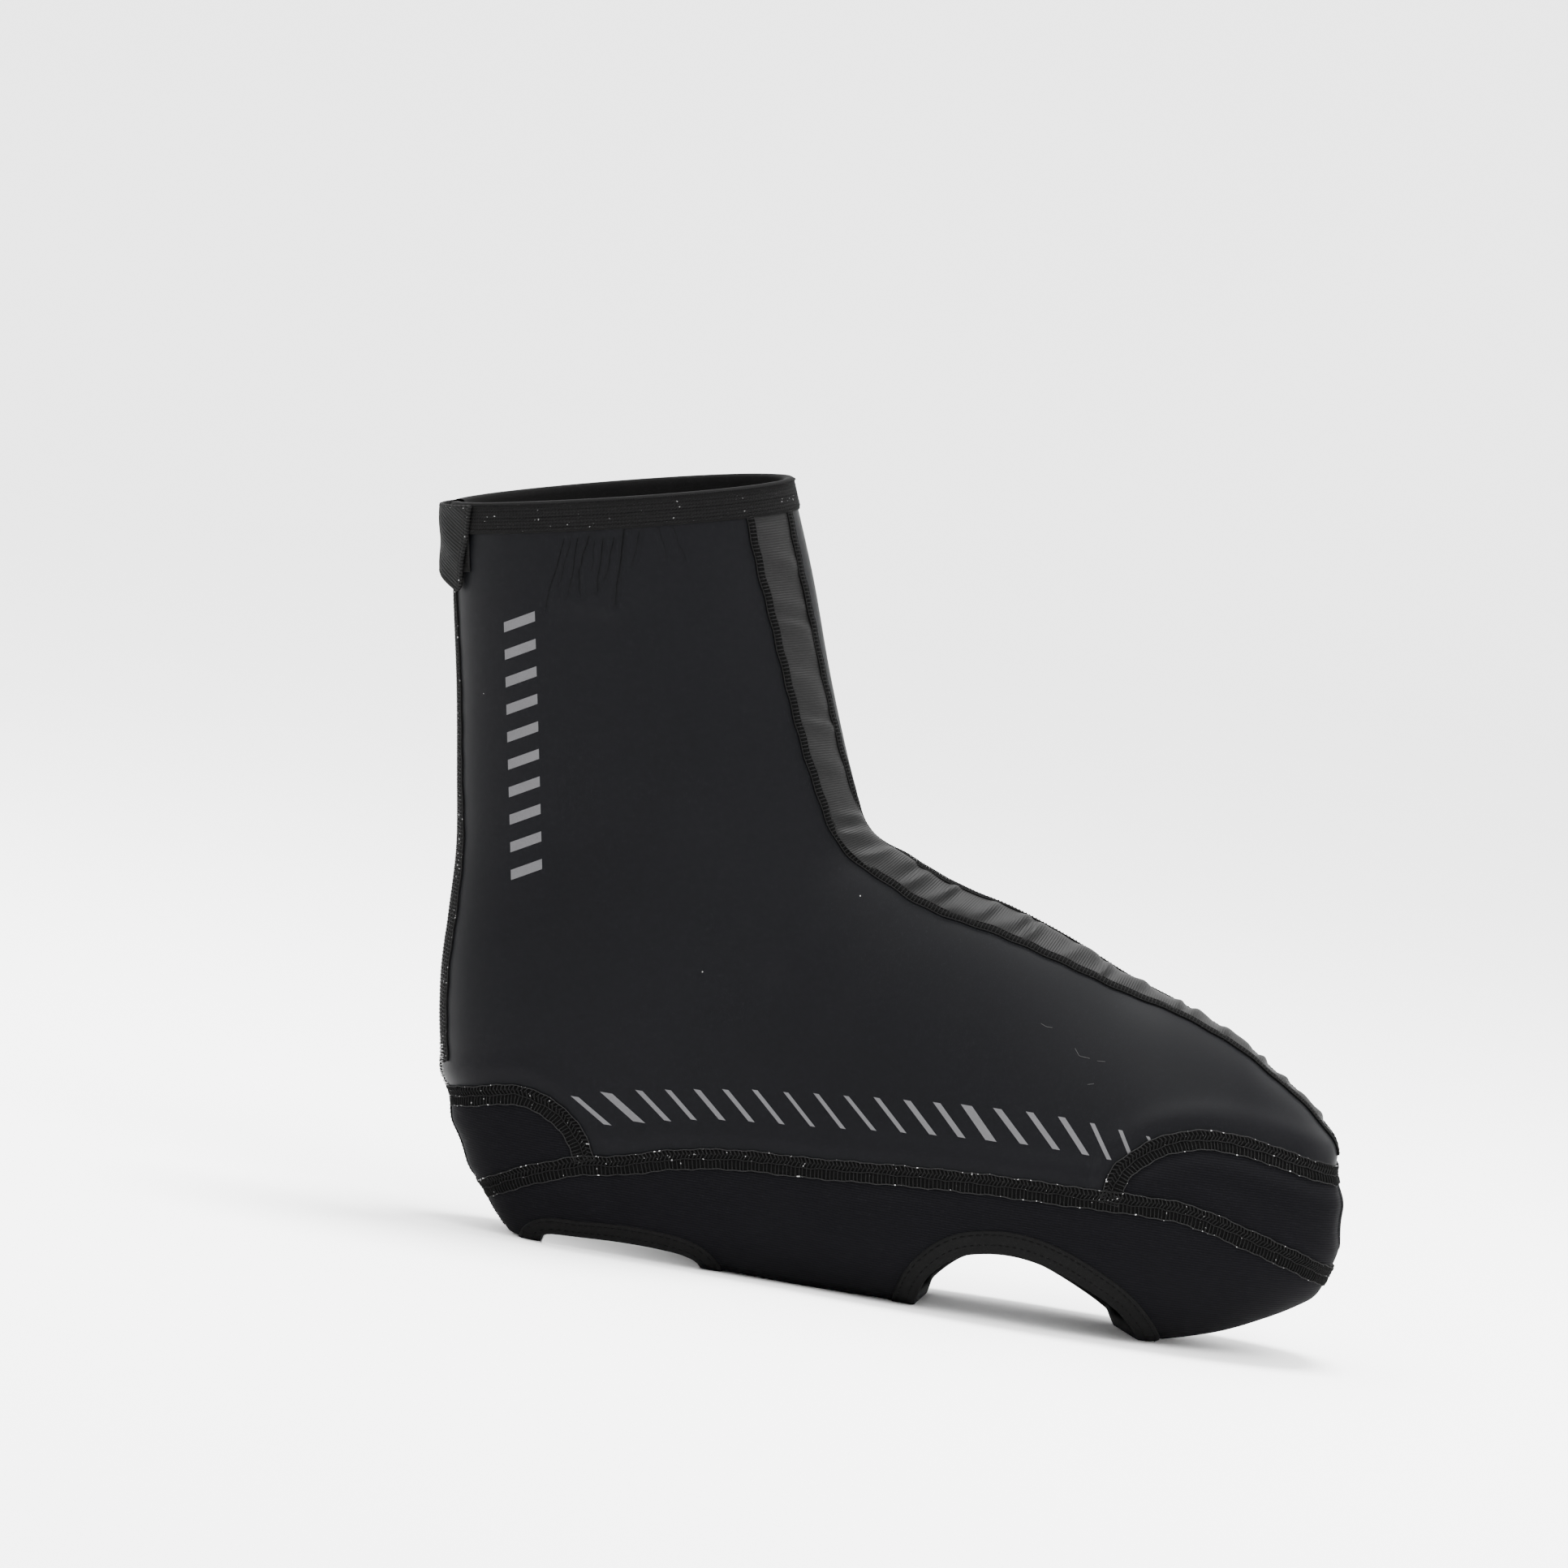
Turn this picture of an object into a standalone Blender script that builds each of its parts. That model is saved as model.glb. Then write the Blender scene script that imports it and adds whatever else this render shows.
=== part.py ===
"""Cycling overshoe for a right foot: one hollow cover of coated stretch foam, standing on its underside.

Metres, +Z up, +X to the toe, -Y is the outer side of the foot. Every piece is cut from one surface.
"""
import math
import bpy
import bmesh
from mathutils import Vector

# Driving sizes of the cover
foot_length = 0.306
instep_height = 0.149
collar_rise = 0.1085
collar_width = 0.070
ankle_width = 0.060
heel_width = 0.066
ball_width = 0.086
inner_collar_rise = 0.005

# Walls, gaps and trims
wall = 0.0020
gap = 0.0003
binding_wall = 0.0008
binding_width = 0.0072
floor_press = 0.0002
collar_binding_height = 0.0100
seam_width = 0.0070
seam_lift = 0.0006
strip_width = 0.0180
strip_wall = 0.0007
front_seam_width = 0.0034
zip_opening = 0.0100
zip_tape_wall = 0.0010
zip_tape_depth = 0.0006
zip_coil_width = 0.0046
zip_coil_height = 0.0013
zip_edge_width = 0.0036
strap_wall = 0.0014
strap_height = 0.0250
strap_outer_reach = 0.0200
strap_inner_reach = 0.0260
strap_bow = 0.0024
strap_taper = 0.35
hook_patch_wall = 0.0007
hook_patch_width = 0.0100
hook_patch_height = 0.0120
cleat_inner_drop = 0.0090
cleat_inner_share = 0.86

# Fineness of the facets
stations_along = 26
steps_around = 12
strap_columns = 12
strap_rows = 5
cutter_reach = 0.075
ribbon_depth = 0.0040
far_outside = 0.030
above_collar = -0.2
toe_tip_reach = 0.002

width_sizes = {"collar": collar_width, "ankle": ankle_width, "heel": heel_width, "ball": ball_width}
ring_rise = binding_wall - floor_press

# Sections from the collar round the heel to the toe. Places along are shares of foot_length, levels
# count 1 for instep_height and 1 more for collar_rise, width is a share of the size that it names.
section_columns = ("front_x", "front_level", "back_x", "back_level", "size", "width",
                   "widest", "low_power", "high_power", "sideways")
sections = (
    (0.283, 1.999, -0.070, 1.770, "collar", 1.00, 0.46, 2.1, 2.0, 0.00),
    (0.320, 1.753, -0.054, 1.517, "collar", 0.96, 0.46, 2.1, 1.9, 0.00),
    (0.358, 1.461, -0.034, 1.240, "ankle", 1.06, 0.46, 2.1, 1.9, 0.00),
    (0.391, 1.228, -0.018, 0.982, "ankle", 1.02, 0.46, 2.1, 1.9, 0.00),
    (0.408, 1.124, -0.006, 0.823, "ankle", 1.00, 0.45, 2.1, 1.9, 0.00),
    (0.421, 1.056, -0.003, 0.680, "ankle", 1.01, 0.42, 2.1, 1.9, 0.00),
    (0.433, 1.014, 0.000, 0.536, "ankle", 1.04, 0.38, 2.2, 1.9, 0.00),
    (0.446, 0.993, 0.013, 0.378, "heel", 0.98, 0.34, 2.3, 1.9, 0.00),
    (0.459, 0.981, 0.037, 0.241, "heel", 1.00, 0.31, 2.5, 1.9, 0.00),
    (0.475, 0.968, 0.067, 0.125, "heel", 1.00, 0.29, 2.7, 1.9, 0.00),
    (0.494, 0.950, 0.098, 0.050, "heel", 1.00, 0.28, 2.9, 1.9, 0.00),
    (0.517, 0.931, 0.129, -0.008, "heel", 1.00, 0.27, 3.0, 1.9, 0.00),
    (0.550, 0.909, 0.201, -0.006, "heel", 0.99, 0.27, 3.0, 1.9, 0.00),
    (0.596, 0.887, 0.307, -0.006, "heel", 1.03, 0.27, 2.9, 1.9, -0.01),
    (0.661, 0.842, 0.439, -0.009, "heel", 1.13, 0.27, 2.7, 1.9, -0.02),
    (0.727, 0.785, 0.571, -0.007, "ball", 0.95, 0.28, 2.6, 1.9, -0.01),
    (0.792, 0.740, 0.694, -0.005, "ball", 1.00, 0.30, 2.5, 1.9, 0.01),
    (0.858, 0.684, 0.799, -0.005, "ball", 0.97, 0.33, 2.4, 1.9, 0.03),
    (0.898, 0.630, 0.876, 0.030, "ball", 0.88, 0.37, 2.3, 2.0, 0.05),
    (0.937, 0.580, 0.933, 0.081, "ball", 0.76, 0.41, 2.2, 2.0, 0.06),
    (0.964, 0.529, 0.973, 0.131, "ball", 0.62, 0.44, 2.1, 2.0, 0.07),
    (0.978, 0.489, 0.994, 0.187, "ball", 0.47, 0.47, 2.0, 2.0, 0.07),
    (0.987, 0.420, 1.000, 0.261, "ball", 0.30, 0.50, 2.0, 2.0, 0.07),
)

# Place along the sections, then how far the front strip reaches from the front fold to the outer and
# to the inner side, in shares of strip_width
strip_reaches = (
    (0.0, 1.60, -0.60),
    (1.0, 1.55, -0.60),
    (2.0, 1.35, -0.45),
    (3.5, 1.15, -0.30),
    (6.0, 1.00, -0.20),
    (11.0, 0.95, -0.15),
    (14.0, 0.80, 0.05),
    (16.0, 0.55, 0.28),
    (18.0, 0.45, 0.36),
    (22.0, 0.42, 0.38),
)
strip_end_place = 21.2

# Place along the sections, then how far the zip's middle leans to the outer side, in shares of
# zip_opening
zip_leans = (
    (0.0, 0.00),
    (3.0, 0.05),
    (5.0, 0.30),
    (8.0, 0.60),
)
zip_end_place = 7.25

# Seam lines and openings from the side, as shares of foot_length and levels
side_seam_line = (
    (0.030, 0.020), (0.084, 0.093), (0.127, 0.145), (0.184, 0.190), (0.222, 0.203), (0.281, 0.237),
    (0.350, 0.260), (0.427, 0.270), (0.530, 0.290), (0.627, 0.303), (0.720, 0.308), (0.798, 0.312),
    (0.840, 0.304), (0.897, 0.272), (0.962, 0.229), (1.050, 0.150),
)
heel_seam_line = (
    (-0.080, 0.262), (0.000, 0.270), (0.037, 0.283), (0.087, 0.312), (0.111, 0.319), (0.150, 0.294),
    (0.178, 0.239), (0.188, 0.196),
)
toe_seam_line = (
    (0.744, 0.300), (0.748, 0.350), (0.758, 0.391), (0.792, 0.446), (0.839, 0.472), (0.893, 0.464),
    (0.957, 0.436), (1.050, 0.400),
)
heel_opening_line = (
    (0.151, -0.070), (0.152, 0.000), (0.158, 0.026), (0.193, 0.031), (0.242, 0.036), (0.282, 0.035),
    (0.312, 0.028), (0.328, 0.005), (0.334, -0.070),
)
cleat_opening_line = (
    (0.556, -0.070), (0.558, 0.010), (0.563, 0.062), (0.575, 0.102), (0.600, 0.143), (0.645, 0.161),
    (0.690, 0.150), (0.740, 0.112), (0.776, 0.071), (0.802, 0.010), (0.812, -0.070),
)


def height_of(level):
    if level <= 1.0:
        return level * instep_height
    return instep_height + (level - 1.0) * collar_rise


def side_place(share, level):
    return Vector((share * foot_length, height_of(level)))


def through(values, place):
    """Catmull-Rom value between rows of numbers or vectors, straight on past either end."""
    last = len(values) - 1
    index = min(max(int(math.floor(place)), 0), last - 1)
    part = place - index
    here, ahead = values[index], values[index + 1]
    if part < 0.0 or part > 1.0:
        return here + (ahead - here) * part
    before = values[index - 1] if index > 0 else here + (here - ahead)
    after = values[index + 2] if index + 2 <= last else ahead + (ahead - here)
    return (here * 2.0 + (ahead - before) * part
            + (before * 2.0 - here * 5.0 + ahead * 4.0 - after) * part ** 2
            + (here * 3.0 - before - ahead * 3.0 + after) * part ** 3) * 0.5


def between_rows(rows, place, column):
    """Straight value of one column of a table whose first column is the place."""
    for low, high in zip(rows, rows[1:]):
        if place <= high[0]:
            part = max((place - low[0]) / (high[0] - low[0]), 0.0)
            return low[column] + (high[column] - low[column]) * part
    return rows[-1][column]


def solved_sections():
    solved = {"front": [], "back": [], "half": [], "widest": [], "low": [], "high": [], "sideways": []}
    for row in sections:
        named = dict(zip(section_columns, row))
        solved["front"].append(side_place(named["front_x"], named["front_level"]))
        solved["back"].append(side_place(named["back_x"], named["back_level"]))
        solved["half"].append(named["width"] * width_sizes[named["size"]] / 2)
        solved["widest"].append(named["widest"])
        solved["low"].append(named["low_power"])
        solved["high"].append(named["high_power"])
        solved["sideways"].append(named["sideways"] * ball_width)
    return solved


solved = solved_sections()
last_place = len(sections) - 1
bridge_start = heel_opening_line[-1][0] * foot_length + binding_width
bridge_end = cleat_opening_line[0][0] * foot_length - binding_width


def floor_at(x):
    """Lowest level of the wall: bindings lie under it, and the bridge between them sags to the floor."""
    if bridge_start < x < bridge_end:
        return ring_rise * math.cos(math.pi * (x - bridge_start) / (bridge_end - bridge_start)) ** 2
    return ring_rise


def surface_point(place, angle):
    """Point of the outer face: angle 0 is the back or underside, a half turn either way is the front."""
    front = through(solved["front"], place)
    back = through(solved["back"], place)
    half = max(through(solved["half"], place), 0.0)
    widest = through(solved["widest"], place)
    turn = abs(angle)
    across = math.sin(turn)
    if turn <= math.pi / 2:
        power = 2 / through(solved["low"], place)
        along = widest * (1 - max(math.cos(turn), 0.0) ** power)
    else:
        power = 2 / through(solved["high"], place)
        along = widest + (1 - widest) * max(-math.cos(turn), 0.0) ** power
    side = math.copysign(half * max(across, 0.0) ** power, angle)
    spot = back.lerp(front, along)
    y = through(solved["sideways"], place) + side
    rise = min(max((spot.y - instep_height) / collar_rise, 0.0), 1.0)
    z = spot.y + inner_collar_rise * rise ** 2 * (0.5 + side / collar_width)
    return Vector((spot.x, y, max(z, floor_at(spot.x))))


fine_steps = 90
arc_tables = {}


def arc_table(place, side):
    """Angles and lengths along one side of a section, measured from the back."""
    key = (round(place, 5), side)
    if key not in arc_tables:
        angles = [side * math.pi * step / fine_steps for step in range(fine_steps + 1)]
        spots = [surface_point(place, angle) for angle in angles]
        lengths = [0.0]
        for here, ahead in zip(spots, spots[1:]):
            lengths.append(lengths[-1] + (ahead - here).length)
        arc_tables[key] = (angles, lengths)
    return arc_tables[key]


def angle_at_length(place, side, length):
    angles, lengths = arc_table(place, side)
    length = min(max(length, 0.0), lengths[-1])
    for index in range(fine_steps):
        if length <= lengths[index + 1]:
            span = max(lengths[index + 1] - lengths[index], 1e-9)
            part = (length - lengths[index]) / span
            return angles[index] + (angles[index + 1] - angles[index]) * part
    return angles[-1]


def point_from_back(place, reach):
    """Point at a distance round the section from the back, positive to the outer side (-Y)."""
    side = -1 if reach >= 0 else 1
    return surface_point(place, angle_at_length(place, side, abs(reach)))


def point_from_front(place, reach):
    """Point at a distance round the section from the front fold, positive to the outer side (-Y)."""
    side = -1 if reach >= 0 else 1
    whole = arc_table(place, side)[1][-1]
    return surface_point(place, angle_at_length(place, side, whole - abs(reach)))


def ring_of_points(place):
    """One section from the front fold down the outer side, round the back and up the inner side."""
    shares = []
    for step in range(steps_around + 1):
        even = step / steps_around
        shares.append(0.5 * even + 0.25 * (1 - math.cos(math.pi * even)))
    outer_whole = arc_table(place, -1)[1][-1]
    inner_whole = arc_table(place, 1)[1][-1]
    outer = [surface_point(place, angle_at_length(place, -1, share * outer_whole)) for share in shares]
    inner = [surface_point(place, angle_at_length(place, 1, share * inner_whole)) for share in shares]
    return outer[::-1] + inner[1:-1]


def drop_to_place(drop):
    """Place of the section that lies this far below the collar's edge."""
    middle = [(solved["front"][row] + solved["back"][row]) / 2 for row in (0, 1)]
    return drop / (middle[0] - middle[1]).length


collar_place = drop_to_place(collar_binding_height)
wall_start = drop_to_place(collar_binding_height + gap)


def main_places(start, end):
    """Places of the sections that the facets follow, between two given ones."""
    rest = [collar_place + (last_place - collar_place) * step / stations_along
            for step in range(stations_along + 1)]
    margin = drop_to_place(4 * gap)
    return [start] + [place for place in rest if start + margin < place < end - margin] + [end]


def new_object(name, mesh, material, home):
    item = bpy.data.objects.new(name, mesh)
    if material:
        mesh.materials.append(material)
    home.objects.link(item)
    return item


def grid_mesh(name, rows, closed, pole=None):
    """Open sheet through rows of points, closed round each row if asked, and at a last point."""
    sheet = bmesh.new()
    made = [[sheet.verts.new(spot) for spot in row] for row in rows]
    count = len(rows[0])
    steps = count if closed else count - 1
    for upper_row, lower_row in zip(made, made[1:]):
        for step in range(steps):
            ahead = (step + 1) % count
            sheet.faces.new((upper_row[step], upper_row[ahead], lower_row[ahead], lower_row[step]))
    if pole is not None:
        tip = sheet.verts.new(pole)
        for step in range(count):
            sheet.faces.new((made[-1][step], made[-1][(step + 1) % count], tip))
    mesh = bpy.data.meshes.new(name)
    sheet.to_mesh(mesh)
    sheet.free()
    return mesh


def thicken(item, out, into):
    """Wall from a distance outside the sheet to a distance inside it."""
    solid = item.modifiers.new("wall", "SOLIDIFY")
    solid.thickness = out + into
    solid.offset = (out - into) / (out + into)
    solid.use_even_offset = True
    solid.use_quality_normals = True


def cut(item, cutter, operation="DIFFERENCE"):
    step = item.modifiers.new(operation.lower() + "_" + cutter.name, "BOOLEAN")
    step.operation = operation
    step.solver = "EXACT"
    step.object = cutter


def cover_sheet(name, start, end=None):
    """Sheet of the whole cover from a place near the collar to the toe, or to an earlier place."""
    rows = [ring_of_points(place) for place in main_places(start, end or last_place)]
    if end is not None:
        return grid_mesh(name, rows, True)
    tip = sum(rows[-1], Vector()) / len(rows[-1])
    tip.x += foot_length * toe_tip_reach
    return grid_mesh(name, rows, True, tip)


def layer(name, material, home, out, into, start=None, end=None):
    """A layer of the cover between two distances from its outer face."""
    mesh = cover_sheet(name, wall_start if start is None else start, end)
    item = new_object(name, mesh, material, home)
    thicken(item, out, into)
    return item


def smooth_line(shares, steps=2):
    spots = [side_place(*share) for share in shares]
    line = []
    for index in range(len(spots) - 1):
        for step in range(steps):
            line.append(through(spots, index + step / steps))
    return line + [spots[-1]]


def shifted(line, distance):
    """The line moved to its left by a distance."""
    moved = []
    for index, spot in enumerate(line):
        ahead = line[min(index + 1, len(line) - 1)]
        before = line[max(index - 1, 0)]
        run = (ahead - before).normalized()
        moved.append(spot + Vector((-run.y, run.x)) * distance)
    return moved


def outline_cutter(name, line, home):
    """Prism with an outline seen from the side, right through the shoe."""
    flat = bpy.data.curves.new(name, "CURVE")
    flat.dimensions = "2D"
    flat.fill_mode = "BOTH"
    flat.extrude = cutter_reach
    spline = flat.splines.new("POLY")
    spline.points.add(len(line) - 1)
    for knot, spot in zip(spline.points, line):
        knot.co = (spot.x, spot.y, 0.0, 1.0)
    spline.use_cyclic_u = True
    drawn = bpy.data.objects.new(name + "_outline", flat)
    home.objects.link(drawn)
    drawn.rotation_euler = (math.pi / 2, 0.0, 0.0)
    bpy.context.view_layer.update()
    ready = drawn.evaluated_get(bpy.context.evaluated_depsgraph_get())
    mesh = bpy.data.meshes.new_from_object(ready)
    mesh.transform(drawn.matrix_world)
    bpy.data.objects.remove(drawn)
    welded = bmesh.new()
    welded.from_mesh(mesh)
    bmesh.ops.remove_doubles(welded, verts=welded.verts, dist=1e-6)
    bmesh.ops.recalc_face_normals(welded, faces=welded.faces)
    welded.to_mesh(mesh)
    welded.free()
    return new_object(name, mesh, None, home)


left_side = -far_outside + min(spot.x for spot in solved["back"])
right_side = foot_length + far_outside
low_side = -far_outside
high_side = instep_height + collar_rise + far_outside


def whole_width(line, level):
    """Outline between a line from heel to toe and a level above or below the shoe."""
    start = [Vector((left_side, level)), Vector((left_side, line[0].y))]
    return start + line + [Vector((right_side, line[-1].y)), Vector((right_side, level))]


def behind(line):
    start = [Vector((left_side, low_side)), Vector((left_side, line[0].y))]
    return start + line + [Vector((line[-1].x, low_side))]


def ahead_of(line):
    return [Vector((line[0].x, low_side))] + line + [Vector((right_side, line[-1].y)),
                                                   Vector((right_side, low_side))]


def along_seam(line, width):
    return shifted(line, width / 2) + shifted(line, -width / 2)[::-1]


def lean_cleat_cutter(cutter):
    """The opening for the cleat runs lower and shorter on the inner side."""
    middle = (cleat_opening_line[0][0] + cleat_opening_line[-1][0]) / 2 * foot_length
    parted = bmesh.new()
    parted.from_mesh(cutter.data)
    everything = list(parted.verts) + list(parted.edges) + list(parted.faces)
    bmesh.ops.bisect_plane(parted, geom=everything, plane_co=(0.0, 0.0, 0.0), plane_no=(0.0, 1.0, 0.0))
    for vertex in parted.verts:
        part = max(vertex.co.y / (ball_width / 2), 0.0)
        vertex.co.x = middle + (vertex.co.x - middle) * (1 - (1 - cleat_inner_share) * part)
        vertex.co.z -= cleat_inner_drop * part
    parted.to_mesh(cutter.data)
    parted.free()


def band(name, material, home, places, edges, out, into):
    """Thin strip laid along the surface; edges gives its points across at a place."""
    item = new_object(name, grid_mesh(name, [edges(place) for place in places], False), material, home)
    thicken(item, out, into)
    return item


def front_edges(outer_shift, inner_shift, steps=4):
    """Row of points across the front strip, its edges moved outwards by two distances."""
    def row(place):
        outer = between_rows(strip_reaches, place, 1) * strip_width + outer_shift
        inner = -between_rows(strip_reaches, place, 2) * strip_width - inner_shift
        return [point_from_front(place, inner + (outer - inner) * step / steps)
                for step in range(steps + 1)]
    return row


def front_seam_edges(column, width, steps=1):
    """Row of points across one seam of the front strip."""
    def row(place):
        reach = between_rows(strip_reaches, place, column) * strip_width
        middle = reach if column == 1 else -reach
        return [point_from_front(place, middle + width * (step / steps - 0.5))
                for step in range(steps + 1)]
    return row


def back_edges(outer, inner, steps=1):
    """Row of points across the back, between two distances from the zip's middle."""
    def row(place):
        middle = between_rows(zip_leans, place, 1) * zip_opening
        return [point_from_back(place, middle + outer + (inner - outer) * step / steps)
                for step in range(steps + 1)]
    return row


def cloth(name, colour, roughness):
    material = bpy.data.materials.new(name)
    material.use_nodes = True
    shader = material.node_tree.nodes["Principled BSDF"]
    shader.inputs["Base Color"].default_value = (*colour, 1.0)
    shader.inputs["Roughness"].default_value = roughness
    shader.inputs["Metallic"].default_value = 0.0
    return material


def make_materials():
    return {
        "coated": cloth("coated_foam", (0.020, 0.022, 0.025), 0.48),
        "stretch": cloth("stretch_fabric", (0.012, 0.012, 0.014), 0.85),
        "binding": cloth("binding_tape", (0.016, 0.016, 0.018), 0.80),
        "thread": cloth("seam_thread", (0.022, 0.022, 0.023), 0.75),
        "zip": cloth("zip_plastic", (0.018, 0.018, 0.019), 0.45),
        "strap": cloth("strap_webbing", (0.020, 0.020, 0.022), 0.70),
    }


def make_panel_cutters(home):
    """Prisms that part the upper, the heel panel, the toe panel and the underfoot."""
    seam = smooth_line(side_seam_line, 1)
    heel = smooth_line(heel_seam_line)
    toe = smooth_line(toe_seam_line)
    cutters = {
        "over": outline_cutter("over_side_seam", whole_width(shifted(seam, gap / 2), high_side), home),
        "under": outline_cutter("under_side_seam", whole_width(shifted(seam, -gap / 2), low_side), home),
        "seam": outline_cutter("side_seam_path", along_seam(seam, seam_width), home),
        "seam_room": outline_cutter("side_seam_room", along_seam(seam, seam_width + 2 * gap), home),
        "toe_stop": outline_cutter("toe_seam_stop", ahead_of(shifted(toe, seam_width / 2 + gap)), home),
    }
    for name, line, area in (("heel", heel, behind), ("toe", toe, ahead_of)):
        cutters[name] = outline_cutter(name + "_area", area(shifted(line, -gap / 2)), home)
        cutters[name + "_room"] = outline_cutter(name + "_room", area(shifted(line, gap / 2)), home)
        cutters[name + "_seam"] = outline_cutter(name + "_seam_path", along_seam(line, seam_width), home)
    return cutters


def make_opening_cutters(name, shares, home):
    """Prisms for the binding's two edges, and for the wall's edge round it."""
    line = smooth_line(shares)
    shifts = {"inner_edge": 0.0, "outer_edge": binding_width, "hole": binding_width + gap}
    cutters = {}
    for kind, distance in shifts.items():
        cutters[kind] = outline_cutter(name + "_" + kind, shifted(line, distance), home)
    return cutters


def make_floor_cutter(home):
    """Block whose top is the floor: it leaves flat spots on what stands there."""
    block = bmesh.new()
    bmesh.ops.create_cube(block, size=1.0)
    bmesh.ops.scale(block, verts=block.verts, vec=(2 * foot_length, 2 * ball_width, far_outside))
    bmesh.ops.translate(block, verts=block.verts, vec=(foot_length / 3, 0.0, -far_outside / 2))
    mesh = bpy.data.meshes.new("floor_block")
    block.to_mesh(mesh)
    block.free()
    return new_object("floor_block", mesh, None, home)


def make_binding(name, cutters, material, parts, floor_block):
    """Folded tape round an opening, with the wall's edge inside it, as one rim."""
    item = layer(name, material, parts, binding_wall, wall + binding_wall)
    cut(item, floor_block)
    cut(item, cutters["outer_edge"], "INTERSECT")
    cut(item, cutters["inner_edge"])


def make_upper(parts, materials, panels, zip_slit, groove):
    item = layer("upper", materials["coated"], parts, 0.0, wall)
    cut(item, panels["over"], "INTERSECT")
    cut(item, panels["heel_room"])
    cut(item, panels["toe_room"])
    cut(item, zip_slit)
    cut(item, groove)


def make_heel_and_toe(parts, materials, panels):
    for name in ("heel", "toe"):
        item = layer(name + "_panel", materials["stretch"], parts, 0.0, wall)
        cut(item, panels["over"], "INTERSECT")
        cut(item, panels[name], "INTERSECT")


def make_underfoot(parts, materials, panels, openings):
    item = layer("underfoot", materials["stretch"], parts, 0.0, wall)
    cut(item, panels["under"], "INTERSECT")
    for cutters in openings.values():
        cut(item, cutters["hole"])


def make_seams(parts, materials, panels):
    item = layer("side_seam", materials["thread"], parts, gap + seam_lift, -gap)
    cut(item, panels["seam"], "INTERSECT")
    for name in ("heel", "toe"):
        item = layer(name + "_seam", materials["thread"], parts, gap + seam_lift, -gap)
        cut(item, panels[name + "_seam"], "INTERSECT")
        cut(item, panels["seam_room"])


def make_front_strip(parts, spare, materials, panels):
    """Narrow stretch panel let into a groove down the front, with a seam along each edge."""
    places = main_places(above_collar, strip_end_place)
    strip_room = band("strip_room", None, spare, places, front_edges(0.0, 0.0), ribbon_depth, ribbon_depth)
    groove = layer("strip_groove", None, spare, 2 * wall, strip_wall + gap, 0.0)
    cut(groove, strip_room, "INTERSECT")
    beside = main_places(wall_start, strip_end_place - drop_to_place(gap))
    edges = front_edges(-gap, -gap)
    item = band("front_strip", materials["stretch"], parts, beside, edges, 0.0, strip_wall)
    cut(item, panels["toe_room"])
    for name, column in (("front_seam_outer", 1), ("front_seam_inner", 2)):
        edges = front_seam_edges(column, front_seam_width)
        item = band(name, materials["thread"], parts, beside, edges, gap + seam_lift, -gap)
        cut(item, panels["toe_stop"])
    return groove


def make_zip(parts, spare, materials):
    """Closed zip down the back: tape in the opening, coil on the tape, an edge band each side."""
    half = zip_opening / 2
    places = main_places(above_collar, zip_end_place)
    slit = band("zip_slit", None, spare, places, back_edges(half, -half), ribbon_depth, ribbon_depth)
    end = zip_end_place - drop_to_place(gap)
    inside = main_places(drop_to_place(gap), end)
    edges = back_edges(half - gap, gap - half, 2)
    band("zip_tape", materials["binding"], parts, inside, edges, -zip_tape_depth,
         zip_tape_depth + zip_tape_wall)
    edges = back_edges(zip_coil_width / 2, -zip_coil_width / 2)
    lift = zip_coil_height + gap - zip_tape_depth
    band("zip_coil", materials["zip"], parts, inside, edges, lift, zip_tape_depth - gap)
    beside = main_places(wall_start, zip_end_place)
    near = half - gap
    far = near + zip_edge_width
    edges = back_edges(far, near)
    band("zip_edge_outer", materials["binding"], parts, beside, edges, gap + seam_lift, -gap)
    edges = back_edges(-near, -far)
    band("zip_edge_inner", materials["binding"], parts, beside, edges, gap + seam_lift, -gap)
    return slit


def make_collar_binding(parts, materials, slit):
    """Folded tape over the collar's edge, parted at the zip."""
    item = layer("collar_binding", materials["binding"], parts, binding_wall, wall + binding_wall, 0.0,
                 collar_place)
    cut(item, slit)


def make_closure(parts, materials):
    """Hook and loop strap round the back of the collar, and the patch that it grips."""
    end = drop_to_place(strap_height)
    rows = []
    for place in [drop_to_place(gap) + end * step / strap_rows for step in range(strap_rows + 1)]:
        down = place / end
        outer = strap_outer_reach * (1 - strap_taper * down)
        row = []
        for step in range(strap_columns + 1):
            reach = outer - (outer + strap_inner_reach) * step / strap_columns
            round_back = 1 - abs(reach) / (outer if reach > 0 else strap_inner_reach)
            bow = strap_bow * math.sin(math.pi / 2 * round_back) ** 2
            row.append((place, reach, binding_wall + gap + bow))
        rows.append(row)
    spots = []
    for row in rows:
        line = []
        for place, reach, lift in row:
            here = point_from_back(place, reach)
            ahead = point_from_back(place, reach - 0.001)
            lower = point_from_back(place + 0.05, reach)
            outward = (ahead - here).cross(lower - here).normalized()
            line.append(here + outward * lift)
        spots.append(line)
    strap = new_object("closure_strap", grid_mesh("closure_strap", spots, False), materials["strap"], parts)
    thicken(strap, strap_wall, 0.0)
    beside = main_places(wall_start, wall_start + drop_to_place(hook_patch_height))
    near = zip_opening / 2 + zip_edge_width
    edges = back_edges(near + hook_patch_width, near, 2)
    band("hook_patch", materials["strap"], parts, beside, edges, gap + hook_patch_wall, -gap)


def clear_scene():
    for item in list(bpy.data.objects):
        bpy.data.objects.remove(item)


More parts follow.
